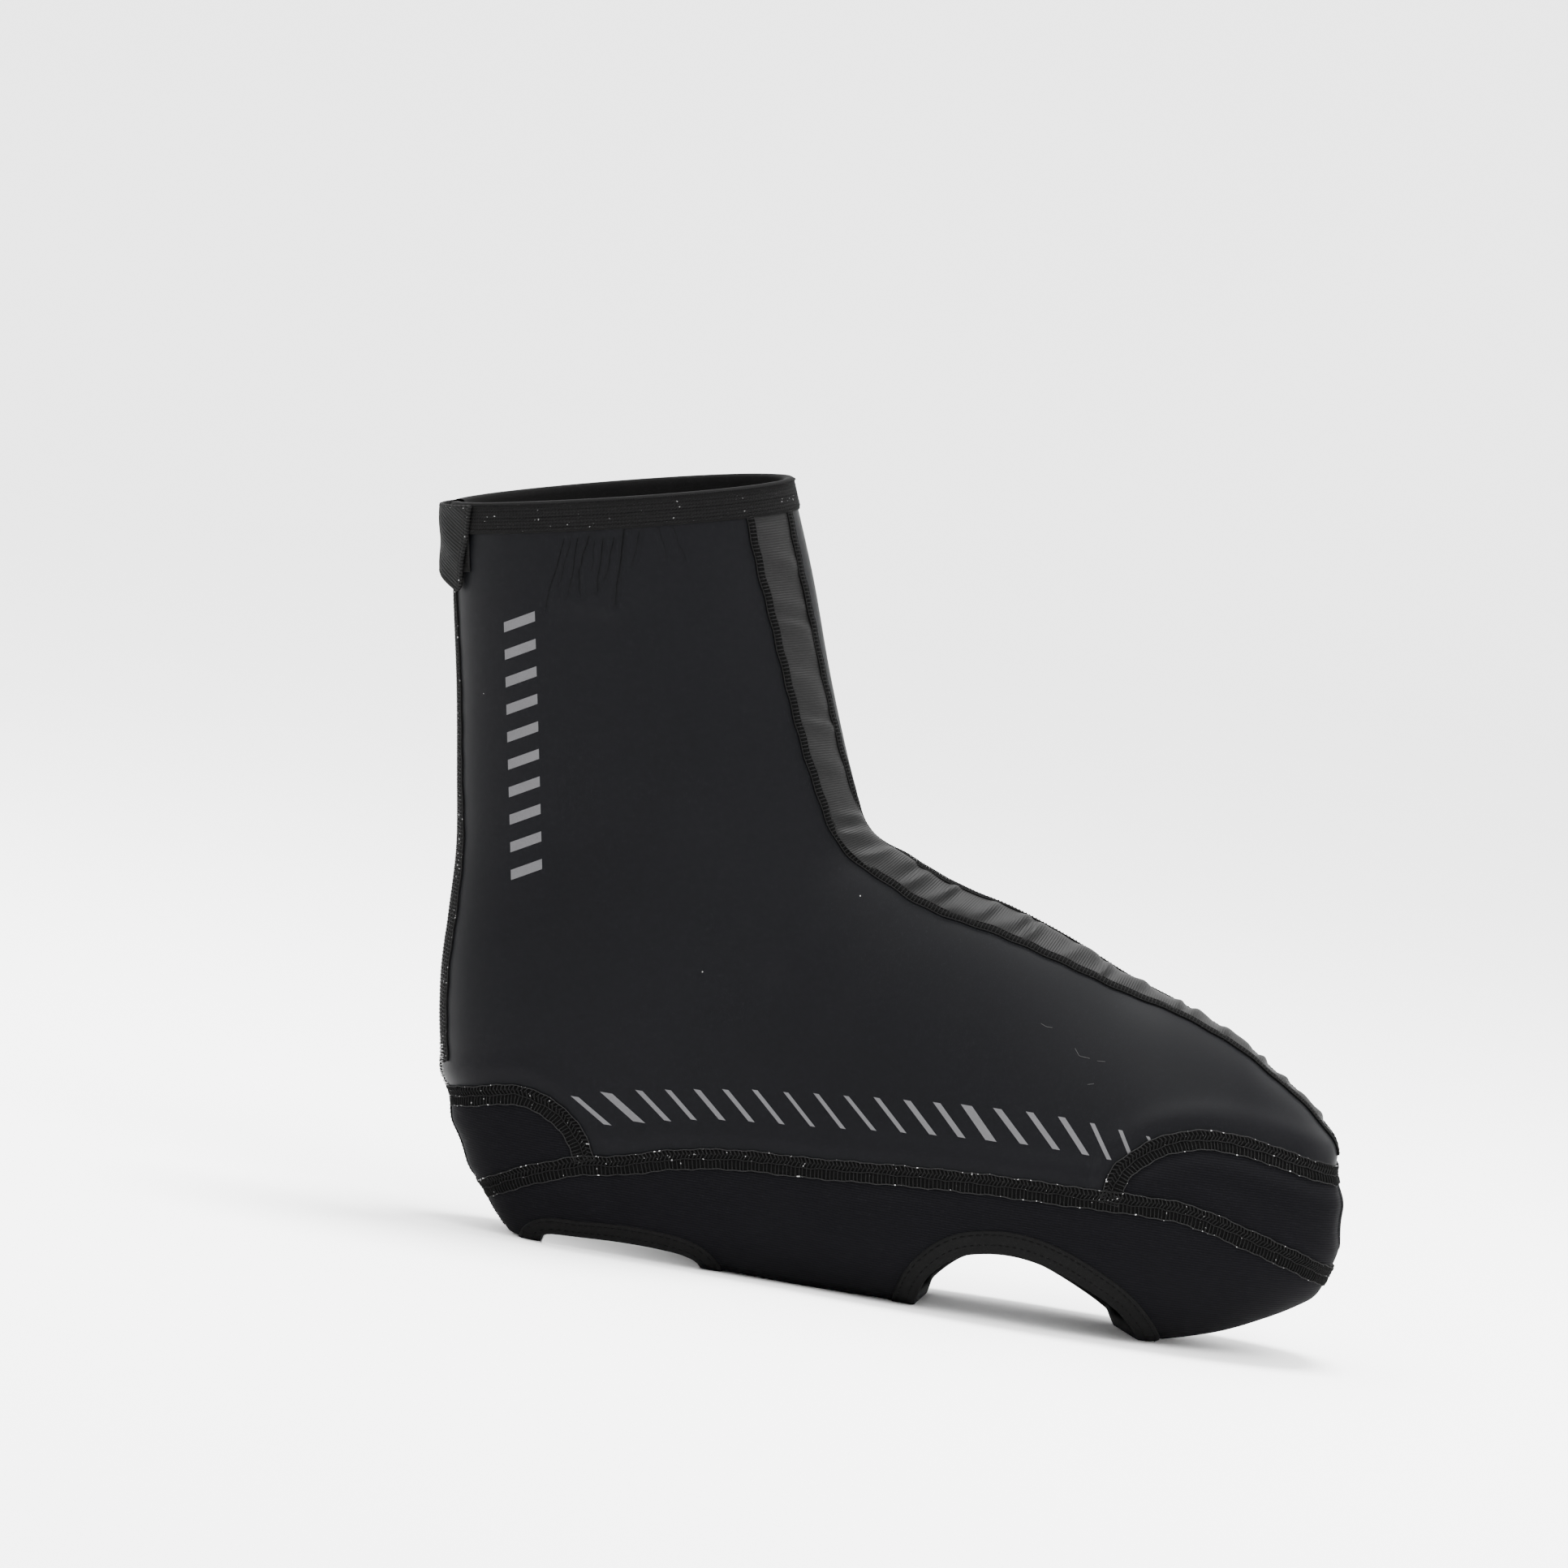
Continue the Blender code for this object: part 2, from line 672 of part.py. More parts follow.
def stand_on_origin(parts, spare):
    """Hang every object on one empty, with the middle of the underside at the origin."""
    graph = bpy.context.evaluated_depsgraph_get()
    corners = [Vector(corner) for item in parts.objects for corner in item.evaluated_get(graph).bound_box]
    middle = [(min(spot[axis] for spot in corners) + max(spot[axis] for spot in corners)) / 2
              for axis in (0, 1)]
    root = bpy.data.objects.new("cycling_overshoe", None)
    root.location = (-middle[0], -middle[1], 0.0)
    for item in list(parts.objects) + list(spare.objects):
        item.parent = root
    parts.objects.link(root)


def make_overshoe():
    clear_scene()
    parts = bpy.data.collections.new("cycling_overshoe")
    spare = bpy.data.collections.new("cutters")
    bpy.context.scene.collection.children.link(parts)
    bpy.context.scene.collection.children.link(spare)
    materials = make_materials()
    panels = make_panel_cutters(spare)
    openings = {
        "heel_opening": make_opening_cutters("heel_opening", heel_opening_line, spare),
        "cleat_opening": make_opening_cutters("cleat_opening", cleat_opening_line, spare),
    }
    for cutter in openings["cleat_opening"].values():
        lean_cleat_cutter(cutter)
    groove = make_front_strip(parts, spare, materials, panels)
    slit = make_zip(parts, spare, materials)
    make_upper(parts, materials, panels, slit, groove)
    make_heel_and_toe(parts, materials, panels)
    make_underfoot(parts, materials, panels, openings)
    make_seams(parts, materials, panels)
    floor_block = make_floor_cutter(spare)
    for name, cutters in openings.items():
        make_binding(name + "_binding", cutters, materials["binding"], parts, floor_block)
    make_collar_binding(parts, materials, slit)
    make_closure(parts, materials)
    for cutter in spare.objects:
        cutter.hide_render = True
        cutter.display_type = "WIRE"
    stand_on_origin(parts, spare)


make_overshoe()
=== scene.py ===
import math
import bmesh
import bpy
import numpy as np
from mathutils import Matrix, Vector
from mathutils.bvhtree import BVHTree


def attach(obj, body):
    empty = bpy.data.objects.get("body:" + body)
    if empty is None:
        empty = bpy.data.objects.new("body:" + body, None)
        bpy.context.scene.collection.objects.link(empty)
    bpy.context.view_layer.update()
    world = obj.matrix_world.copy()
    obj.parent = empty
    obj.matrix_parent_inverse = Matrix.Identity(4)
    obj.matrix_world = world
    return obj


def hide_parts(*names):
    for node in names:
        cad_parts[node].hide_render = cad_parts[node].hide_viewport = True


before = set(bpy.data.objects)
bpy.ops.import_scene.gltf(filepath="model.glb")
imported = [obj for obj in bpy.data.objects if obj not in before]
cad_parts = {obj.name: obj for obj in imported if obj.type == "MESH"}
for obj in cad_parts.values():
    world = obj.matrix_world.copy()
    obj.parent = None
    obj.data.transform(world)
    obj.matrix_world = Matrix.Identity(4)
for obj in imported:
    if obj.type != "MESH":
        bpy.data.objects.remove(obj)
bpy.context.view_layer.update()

mm = 0.001
rng = np.random.default_rng(11)

# The cover's own sizes and sections, as its solids have them: +X to the toe, -Y the outer side
cover = {
    "footLength": 0.306, "instepHeight": 0.149, "collarRise": 0.1085, "innerCollarRise": 0.005,
    "collar": 0.070, "ankle": 0.060, "heel": 0.066, "ball": 0.086, "wall": 0.0020,
    "bindingWidth": 0.0072, "bindingWall": 0.0008, "collarBindingHeight": 0.0100, "floorPress": 0.0002,
    "stripWidth": 0.0180, "zipOpening": 0.0100, "zipEdgeWidth": 0.0036,
    "cleatInnerDrop": 0.0090, "cleatInnerShare": 0.86, "stripEnd": 21.2, "zipEnd": 7.25,
    "middle": (0.13995, 0.00095),   # what part.py takes off X and Y to centre the part
}
# Front x and level, back x and level, size, width, place of the widest, powers below and above, sideways
sections = (
    (0.283, 1.999, -0.070, 1.770, "collar", 1.00, 0.46, 2.1, 2.0, 0.00),
    (0.320, 1.753, -0.054, 1.517, "collar", 0.96, 0.46, 2.1, 1.9, 0.00),
    (0.358, 1.461, -0.034, 1.240, "ankle", 1.06, 0.46, 2.1, 1.9, 0.00),
    (0.391, 1.228, -0.018, 0.982, "ankle", 1.02, 0.46, 2.1, 1.9, 0.00),
    (0.408, 1.124, -0.006, 0.823, "ankle", 1.00, 0.45, 2.1, 1.9, 0.00),
    (0.421, 1.056, -0.003, 0.680, "ankle", 1.01, 0.42, 2.1, 1.9, 0.00),
    (0.433, 1.014, 0.000, 0.536, "ankle", 1.04, 0.38, 2.2, 1.9, 0.00),
    (0.446, 0.993, 0.013, 0.378, "heel", 0.98, 0.34, 2.3, 1.9, 0.00),
    (0.459, 0.981, 0.037, 0.241, "heel", 1.00, 0.31, 2.5, 1.9, 0.00),
    (0.475, 0.968, 0.067, 0.125, "heel", 1.00, 0.29, 2.7, 1.9, 0.00),
    (0.494, 0.950, 0.098, 0.050, "heel", 1.00, 0.28, 2.9, 1.9, 0.00),
    (0.517, 0.931, 0.129, -0.008, "heel", 1.00, 0.27, 3.0, 1.9, 0.00),
    (0.550, 0.909, 0.201, -0.006, "heel", 0.99, 0.27, 3.0, 1.9, 0.00),
    (0.596, 0.887, 0.307, -0.006, "heel", 1.03, 0.27, 2.9, 1.9, -0.01),
    (0.661, 0.842, 0.439, -0.009, "heel", 1.13, 0.27, 2.7, 1.9, -0.02),
    (0.727, 0.785, 0.571, -0.007, "ball", 0.95, 0.28, 2.6, 1.9, -0.01),
    (0.792, 0.740, 0.694, -0.005, "ball", 1.00, 0.30, 2.5, 1.9, 0.01),
    (0.858, 0.684, 0.799, -0.005, "ball", 0.97, 0.33, 2.4, 1.9, 0.03),
    (0.898, 0.630, 0.876, 0.030, "ball", 0.88, 0.37, 2.3, 2.0, 0.05),
    (0.937, 0.580, 0.933, 0.081, "ball", 0.76, 0.41, 2.2, 2.0, 0.06),
    (0.964, 0.529, 0.973, 0.131, "ball", 0.62, 0.44, 2.1, 2.0, 0.07),
    (0.978, 0.489, 0.994, 0.187, "ball", 0.47, 0.47, 2.0, 2.0, 0.07),
    (0.987, 0.420, 1.000, 0.261, "ball", 0.30, 0.50, 2.0, 2.0, 0.07),
)
# Place along the sections, reach of the front strip to the outer and the inner side of the fold
stripReaches = ((0.0, 1.60, -0.60), (1.0, 1.55, -0.60), (2.0, 1.35, -0.45), (3.5, 1.15, -0.30),
                (6.0, 1.00, -0.20), (11.0, 0.95, -0.15), (14.0, 0.80, 0.05), (16.0, 0.55, 0.28),
                (18.0, 0.45, 0.36), (22.0, 0.42, 0.38))
# Place along the sections, lean of the zip to the outer side
zipLeans = ((0.0, 0.00), (3.0, 0.05), (5.0, 0.30), (8.0, 0.60))
# Lines seen from the side, as shares of the foot's length and levels
seamShares = {
    "side": ((0.030, 0.020), (0.084, 0.093), (0.127, 0.145), (0.184, 0.190), (0.222, 0.203),
        (0.281, 0.237), (0.350, 0.260), (0.427, 0.270), (0.530, 0.290), (0.627, 0.303), (0.720, 0.308),
        (0.798, 0.312), (0.840, 0.304), (0.897, 0.272), (0.962, 0.229), (1.050, 0.150)),
    "heel": ((-0.080, 0.262), (0.000, 0.270), (0.037, 0.283), (0.087, 0.312), (0.111, 0.319),
        (0.150, 0.294), (0.178, 0.239), (0.188, 0.196)),
    "toe": ((0.744, 0.300), (0.748, 0.350), (0.758, 0.391), (0.792, 0.446), (0.839, 0.472),
        (0.893, 0.464), (0.957, 0.436), (1.050, 0.400)),
}
openingShares = {
    "heel": ((0.151, -0.070), (0.152, 0.000), (0.158, 0.026), (0.193, 0.031), (0.242, 0.036),
        (0.282, 0.035), (0.312, 0.028), (0.328, 0.005), (0.334, -0.070)),
    "cleat": ((0.556, -0.070), (0.558, 0.010), (0.563, 0.062), (0.575, 0.102), (0.600, 0.143),
        (0.645, 0.161), (0.690, 0.150), (0.740, 0.112), (0.776, 0.071), (0.802, 0.010), (0.812, -0.070)),
}


def heightOf(level):
    # levels go from 0 on the floor over 1 at the instep's height to 2 at the collar's
    level = np.asarray(level, float)
    above = cover["instepHeight"] + (level - 1) * cover["collarRise"]
    return np.where(level <= 1, level * cover["instepHeight"], above)


def sidePlaces(line):
    table = np.array(line)
    return np.stack([table[:, 0] * cover["footLength"] - cover["middle"][0], heightOf(table[:, 1])], 1)


def through(values, place):
    # the same curve through the rows as in part.py, straight on past either end
    values = np.asarray(values, float)
    last = len(values) - 1
    padded = np.concatenate([[2 * values[0] - values[1]], values, [2 * values[-1] - values[-2]]])
    index = np.clip(np.floor(place).astype(int), 0, last - 1)
    part = place - index
    before, here, ahead, after = (padded[index + step] for step in range(4))
    if values.ndim > 1:
        part = part[..., None]
    curved = (2 * here + (ahead - before) * part + (2 * before - 5 * here + 4 * ahead - after) * part ** 2
              + (3 * here - before - 3 * ahead + after) * part ** 3) / 2
    return np.where((part < 0) | (part > 1), here + (ahead - here) * part, curved)


def outlineOf(x, level):
    return np.array([(row[x] * cover["footLength"], heightOf(row[level])) for row in sections], float)


profile = {
    "front": outlineOf(0, 1), "back": outlineOf(2, 3),
    "half": [cover[row[4]] * row[5] / 2 for row in sections],
    "widest": [row[6] for row in sections],
    "low": [row[7] for row in sections],
    "high": [row[8] for row in sections],
    "sideways": [row[9] * cover["ball"] for row in sections],
}
lastPlace = len(sections) - 1
bridgeStart = openingShares["heel"][-1][0] * cover["footLength"] + cover["bindingWidth"]
bridgeEnd = openingShares["cleat"][0][0] * cover["footLength"] - cover["bindingWidth"]


def floorAt(x):
    # the underside lies a tape's wall above the floor, and on it between the two openings
    ring = cover["bindingWall"] - cover["floorPress"]
    dip = np.cos(np.pi * (x - bridgeStart) / (bridgeEnd - bridgeStart)) ** 2
    return np.where((x > bridgeStart) & (x < bridgeEnd), ring * dip, ring)


def coverPoint(place, angle):
    front, back = through(profile["front"], place), through(profile["back"], place)
    half = np.maximum(through(profile["half"], place), 0)
    widest = through(profile["widest"], place)
    turn = np.abs(angle)
    low = turn <= np.pi / 2
    power = 2 / np.where(low, through(profile["low"], place), through(profile["high"], place))
    bend = np.abs(np.cos(turn)) ** power
    along = np.where(low, widest * (1 - bend), widest + (1 - widest) * bend)
    side = np.sign(angle) * half * np.maximum(np.sin(turn), 0) ** power
    spot = back + (front - back) * along[..., None]
    rise = np.clip((spot[..., 1] - cover["instepHeight"]) / cover["collarRise"], 0, 1)
    z = spot[..., 1] + cover["innerCollarRise"] * rise ** 2 * (0.5 + side / cover["collar"])
    z = np.maximum(z, floorAt(spot[..., 0]))
    y = through(profile["sideways"], place) + side
    return np.stack([spot[..., 0] - cover["middle"][0], y - cover["middle"][1], z], -1)


def unit(vectors):
    return vectors / np.maximum(np.linalg.norm(vectors, axis=-1, keepdims=True), 1e-12)


def runAlong(points):
    # the length along a row of points up to each of them
    return np.concatenate([[0], np.cumsum(np.linalg.norm(np.diff(points, axis=0), axis=1))])


# The skin: one fine grid over the whole cover. Columns run from the front fold (-1) down the outer
# side to the back (0) and up the inner side to the fold (1), by length round the section.
skinMade = {"rowStep": 1.25 * mm, "columns": 150, "capRows": 9, "capRise": 1.2 * mm}


def evenPlaces(step, start=0.0, end=float(lastPlace)):
    tries = np.linspace(start, end, 1400)
    angles = np.linspace(-np.pi, np.pi, 25)
    spots = coverPoint(*np.meshgrid(tries, angles, indexing="ij"))
    moved = np.linalg.norm(np.diff(spots, axis=0), axis=2).max(1)
    run = np.concatenate([[0], np.cumsum(moved)])
    return np.interp(np.linspace(0, run[-1], int(run[-1] / step) + 1), run, tries)


def halfTables(places):
    # angle at each share of the length round one side, for every place
    steps = np.linspace(0, np.pi, 181)
    tables = {}
    for side in (-1, 1):
        spots = coverPoint(*np.meshgrid(places, side * steps, indexing="ij"))
        run = np.cumsum(np.linalg.norm(np.diff(spots, axis=1), axis=2), axis=1)
        tables[side] = np.concatenate([np.zeros((len(places), 1)), run], 1)
    return steps, tables


def anglesAt(places, reaches):
    # reaches are lengths from the back, positive to the inner side (+Y), one row of them a place
    steps, tables = halfTables(places)
    angles = np.empty(reaches.shape)
    for row in range(len(places)):
        inner = np.interp(reaches[row], tables[1][row], steps)
        outer = np.interp(-reaches[row], tables[-1][row], steps)
        angles[row] = np.where(reaches[row] >= 0, inner, -outer)
    return angles


def sideLengths(places):
    tables = halfTables(places)[1]
    return tables[-1][:, -1], tables[1][:, -1]


def gridNormals(points):
    # normals of a grid of points, to the outer side of the cover
    return unit(np.cross(np.gradient(points, axis=1), np.gradient(points, axis=0)))


def smoothStep(low, high, value):
    part = np.clip((value - low) / (high - low), 0, 1)
    return part * part * (3 - 2 * part)


def lineDistance(points, line):
    # shortest distance from points (x, z) to a chain of straight runs
    best = np.full(points.shape[:-1], 1e9)
    for start, end in zip(line, line[1:]):
        run = end - start
        part = np.clip(((points - start) @ run) / (run @ run), 0, 1)
        best = np.minimum(best, np.linalg.norm(points - start - part[..., None] * run, axis=-1))
    return best


def smoothLine(line, steps=3):
    spots = sidePlaces(line)
    return through(spots, np.linspace(0, len(spots) - 1, (len(spots) - 1) * steps + 1))


seamLines = {name: smoothLine(line) for name, line in seamShares.items()}
openingLines = {name: smoothLine(line) for name, line in openingShares.items()}
cleatMiddle = (openingLines["cleat"][0, 0] + openingLines["cleat"][-1, 0]) / 2

# Soft troughs (depth over 0) and ridges: a line from and to, half width and depth in mm,
# and the side of the foot, 0 for both
creases = (
    (0.0577, 1.74, 0.0490, 1.520, 0.77, 0.45, -1),  # puckers under the collar's binding
    (0.0650, 1.74, 0.0600, 1.600, 0.72, 0.27, -1),
    (0.0717, 1.75, 0.0722, 1.580, 0.72, 0.48, -1),
    (0.0834, 1.76, 0.0785, 1.655, 0.77, 0.54, -1),
    (0.0785, 1.655, 0.0836, 1.58, 0.72, 0.45, -1),
    (0.0985, 1.76, 0.1010, 1.600, 0.81, 0.60, -1),
    (0.0900, 1.75, 0.0925, 1.660, 0.68, 0.30, -1),
    (0.1098, 1.77, 0.1080, 1.640, 0.77, 0.51, -1),
    (0.1190, 1.80, 0.1225, 1.570, 0.85, 0.81, -1),
    (0.1355, 1.80, 0.1342, 1.700, 0.90, 0.36, -1),
    (0.1548, 1.82, 0.1685, 1.735, 0.99, 0.33, -1),
    (0.1690, 1.83, 0.1884, 1.735, 1.08, 0.33, -1),
    (0.0860, 1.72, 0.0880, 1.560, 4.0, -0.60, -1),  # the cloth swells between them
    (0.1110, 1.72, 0.1130, 1.560, 3.6, -0.60, -1),
    (0.0640, 1.72, 0.0610, 1.560, 3.2, -0.40, -1),
    (0.2986, 0.325, 0.3038, 0.290, 1.0, 0.20, 0),
    (0.7387, 0.400, 0.7367, 0.338, 3.0, 0.70, 0),  # where the toe seam runs into the side seam
    (0.7348, 0.285, 0.7369, 0.190, 4.5, 0.90, 0),
    (0.2100, 0.200, 0.2300, 0.110, 6.0, 0.80, 0),  # slack above the heel's opening
    (0.1500, 0.170, 0.2000, 0.075, 5.0, -0.60, 0),
    (0.4200, 0.240, 0.4350, 0.080, 9.0, 0.90, 0),
    (0.5000, 0.230, 0.5200, 0.060, 8.0, -0.80, 0),
    (0.4300, 1.000, 0.3600, 0.720, 12.0, 1.10, 0),  # the bend of the ankle
    (0.4500, 0.880, 0.4000, 0.560, 9.0, -0.70, 0),
    (0.1200, 1.500, 0.1500, 0.900, 16.0, 0.90, 0),  # the slack shaft
    (0.2700, 1.600, 0.2600, 1.050, 15.0, -0.80, 0),
)
foldWidth = 2   # what is narrower is a pucker, which gets painted shade on the coating
seamDip = {"dip": 0.55 * mm, "dipWidth": 3.6 * mm, "roll": 0.95 * mm, "rollPlace": 8.5 * mm,
           "rollWidth": 4.0 * mm, "lowerShare": 0.6, "openingStart": 6 * mm, "openingEnd": 14 * mm}


def cleatLean(y):
    # the cleat's opening runs lower and shorter on the inner side: how much, at a distance Y
    part = np.maximum((y + cover["middle"][1]) / (cover["ball"] / 2), 0)
    return 1 - (1 - cover["cleatInnerShare"]) * part, cover["cleatInnerDrop"] * part


def inLine(spots, line):
    # inside a closed outline, by how often a ray upwards meets it
    inside = np.zeros(spots.shape[:-1], bool)
    for start, end in zip(line, np.roll(line, -1, 0)):
        spans = (start[0] > spots[..., 0]) != (end[0] > spots[..., 0])
        rise = start[1] + (end[1] - start[1]) * (spots[..., 0] - start[0]) / (end[0] - start[0] + 1e-15)
        inside ^= spans & (spots[..., 1] < rise)
    return inside


def openingDistance(points, name):
    # distance outside the edge of an opening, under 0 within it
    spots = points[..., [0, 2]]
    if name == "cleat":
        shrink, drop = cleatLean(points[..., 1])
        spots = np.stack([cleatMiddle + (spots[..., 0] - cleatMiddle) / shrink, spots[..., 1] + drop], -1)
    away = lineDistance(spots, openingLines[name])
    return np.where(inLine(spots, openingLines[name]), -away, away)


def creased(points, normals):
    # points moved along their normals, and how deep in a narrow fold each of them lies, which sets the
    # painted shade in the folds
    lift, fold = np.zeros(points.shape[:-1]), np.zeros(points.shape[:-1])
    side = points[..., [0, 2]]
    for x0, level0, x1, level1, width, depth, half in creases:
        away = lineDistance(side, sidePlaces(((x0, level0), (x1, level1)))) / (width * mm)
        here = np.exp(-away ** 2)
        if half:
            here = np.where(points[..., 1] * half > 0, here, 0)
        lift -= here * depth * mm
        # painted shade: how much darker the coating is drawn at the bottom of each narrow pucker
        if width < foldWidth and depth > 0:
            fold = np.maximum(fold, here ** 3 * min(depth, 1))
    upper = smoothStep(-1 * mm, 3 * mm, side[..., 1] - np.interp(side[..., 0], *seamLines["side"].T))
    for name, line in seamLines.items():
        away = lineDistance(side, line)
        lift -= seamDip["dip"] * np.exp(-(away / seamDip["dipWidth"]) ** 2)
        roll = np.exp(-((away - seamDip["rollPlace"]) / seamDip["rollWidth"]) ** 2) * seamDip["roll"]
        lift += roll * (upper if name != "side" else seamDip["lowerShare"])
    for name in openingLines:
        lift *= smoothStep(seamDip["openingStart"], seamDip["openingEnd"], openingDistance(points, name))
    lift *= smoothStep(0.2 * mm, 4 * mm, points[..., 2])
    return points + normals * lift[..., None], np.clip(fold, 0, 1)


def addCap(points):
    # the toe's end, closed by rings that shrink to a point
    last = points[-1]
    middle = last.mean(0)
    rings = []
    for step in range(1, skinMade["capRows"] + 1):
        turn = math.pi / 2 * step / skinMade["capRows"]
        ring = middle + (last - middle) * max(math.cos(turn), 0.02)
        rings.append(ring + [skinMade["capRise"] * math.sin(turn), 0, 0])
    return np.concatenate([points, rings])


skinPlaces = evenPlaces(skinMade["rowStep"])
columns, capRows = skinMade["columns"], skinMade["capRows"]
shares = np.concatenate([np.linspace(-1, 0, columns + 1), np.linspace(0, 1, columns)[1:]])
outerLength, innerLength = sideLengths(skinPlaces)
reaches = np.where(shares < 0, shares * outerLength[:, None], shares * innerLength[:, None])
smoothSkin = addCap(coverPoint(skinPlaces[:, None], anglesAt(skinPlaces, reaches)))
skin, foldShade = creased(smoothSkin, gridNormals(smoothSkin))
rowPlaces = np.concatenate([skinPlaces, lastPlace + 0.01 * np.arange(1, capRows + 1)])
rowReaches = np.concatenate([reaches, np.repeat(reaches[-1:], capRows, 0)])
print("skin grid", skin.shape[:2])


def gridFaces(rows, across, keep=None):
    index = np.arange(rows * across).reshape(rows, across)
    faces = np.stack([index[:-1, :-1], index[:-1, 1:], index[1:, 1:], index[1:, :-1]], -1)
    return (faces if keep is None else faces[keep]).reshape(-1, 4)


def gridPart(grid, keep=None, kind=0):
    return grid, gridFaces(*grid.shape[:2], keep), kind


def makeMesh(name, parts, finishes, way=None, solid=True):
    # one object of several (points, faces, number of their finish)
    points, faces, kinds, start = [], [], [], 0
    for spots, quads, kind in parts:
        points.append(spots.reshape(-1, 3))
        faces.append(quads + start)
        kinds.append(np.full(len(quads), kind, np.int32))
        start += len(points[-1])
    faces = np.concatenate(faces)
    used, index = np.unique(faces, return_inverse=True)
    spots = np.concatenate(points)[used]
    spots[:, 2] = np.maximum(spots[:, 2], 0)   # what rests is pressed flat on the floor
    mesh = bpy.data.meshes.new(name)
    mesh.from_pydata(spots.tolist(), [], index.reshape(faces.shape).tolist())
    mesh.polygons.foreach_set("material_index", np.concatenate(kinds))
    if way is not None:
        attribute = mesh.attributes.new("way", "FLOAT_VECTOR", "POINT")
        attribute.data.foreach_set("vector", way.reshape(-1, 3)[used].astype(np.float32).ravel())
    if solid:
        work = bmesh.new()
        work.from_mesh(mesh)
        bmesh.ops.recalc_face_normals(work, faces=work.faces)
        work.to_mesh(mesh)
        work.free()
    mesh.shade_smooth()
    for finish in finishes:
        mesh.materials.append(paint[finish])
    piece = bpy.data.objects.new(name, mesh)
    bpy.context.scene.collection.objects.link(piece)
    return piece


def addPiece(name, parts, finishes, node=None, way=None, solid=True):
    piece = makeMesh(name, parts, finishes, way, solid)
    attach(piece, "root")
    if node:
        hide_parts(node)
    print(name, len(piece.data.polygons))


# Shader maths: a link is a socket that Python's signs work on
class Link:
    def __init__(self, tree, socket=None):
        self.tree = tree
        self.socket = socket

    def node(self, kind, settings, values, output=0):
        made = self.tree.nodes.new("ShaderNode" + kind)
        for name, value in settings.items():
            setattr(made, name, value)
        for name, value in values.items():
            if isinstance(value, Link):
                self.tree.links.new(value.socket, made.inputs[name])
            else:
                made.inputs[name].default_value = value
        return Link(self.tree, made.outputs[output])

    def math(self, operation, *values):
        return self.node("Math", {"operation": operation}, dict(enumerate(values)))

    def __add__(self, other):
        return self.math("ADD", self, other)

    def __radd__(self, other):
        return self.math("ADD", other, self)

    def __sub__(self, other):
        return self.math("SUBTRACT", self, other)

    def __rsub__(self, other):
        return self.math("SUBTRACT", other, self)

    def __mul__(self, other):
        return self.math("MULTIPLY", self, other)

    def __rmul__(self, other):
        return self.math("MULTIPLY", other, self)


def newShader(name, roughness, specular):
    material = bpy.data.materials.new(name)
    material.use_nodes = True
    shader = material.node_tree.nodes["Principled BSDF"]
    shader.inputs["Roughness"].default_value = roughness
    shader.inputs["Specular IOR Level"].default_value = specular
    return material, Link(material.node_tree)


def feed(socket, link):
    link.tree.links.new(link.socket, link.tree.nodes["Principled BSDF"].inputs[socket])


def feedBoth(colour, height, distance, strength):
    feed("Base Color", colour)
    feed("Normal", height.node("Bump", {}, {"Height": height, "Distance": distance, "Strength": strength}))


def mixColour(factor, first, second):
    return factor.node("Mix", {"data_type": "RGBA"}, {0: factor, 6: first, 7: second}, 2)


def spotsOf(start):
    return start.node("TexCoord", {}, {}, "Object")


def wayOf(start):
    return start.node("Attribute", {"attribute_name": "way"}, {}, "Vector")


def partOf(vector, axis):
    return vector.node("SeparateXYZ", {}, {0: vector}, axis)


def noise(vector, scale, detail=3.0, roughness=0.5):
    return vector.node("TexNoise", {}, {"Vector": vector, "Scale": scale, "Detail": detail,
                                        "Roughness": roughness})


def wave(turned):
    return turned.math("SINE", turned)


def grey(value, tint=(1.0, 1.0, 1.0)):
    return tuple(value * share for share in tint) + (1.0,)


# the folded colour is painted shade, the coating's colour deep in the narrow folds
coated = {"colour": (0.0006, 0.0007, 0.0011, 1), "lighter": (0.0013, 0.0014, 0.0019, 1),
          "folded": (0.0004, 0.0004, 0.0005, 1), "roughness": 0.52, "specular": 0.048,
          "patches": 14.0, "grain": 2600.0, "grainDepth": 0.05 * mm,
          "dust": (0.30, 0.30, 0.29, 1), "dustScale": 62.0, "dustSpread": 21.0, "dustSize": 0.030}
stretch = {"colour": (0.0006, 0.0006, 0.0008, 1), "lighter": (0.0028, 0.0028, 0.0034, 1),
           "roughness": 0.88, "specular": 0.03, "ribPitch": 0.80 * mm, "ribDepth": 0.10 * mm}
twill = {"dark": 0.0010, "light": 0.0090, "roughness": 0.8, "specular": 0.04, "pitch": 1.25 * mm,
         "weavePitch": 0.55 * mm, "depth": 0.30 * mm}
elastic = {"dark": 0.0008, "light": 0.0040, "roughness": 0.60, "specular": 0.10, "pitch": 0.85 * mm,
           "depth": 0.10 * mm}
printing = {"dark": 0.034, "light": 0.058, "tint": (1.0, 0.98, 1.06), "roughness": 0.60, "specular": 0.10,
            "depth": 0.05 * mm}
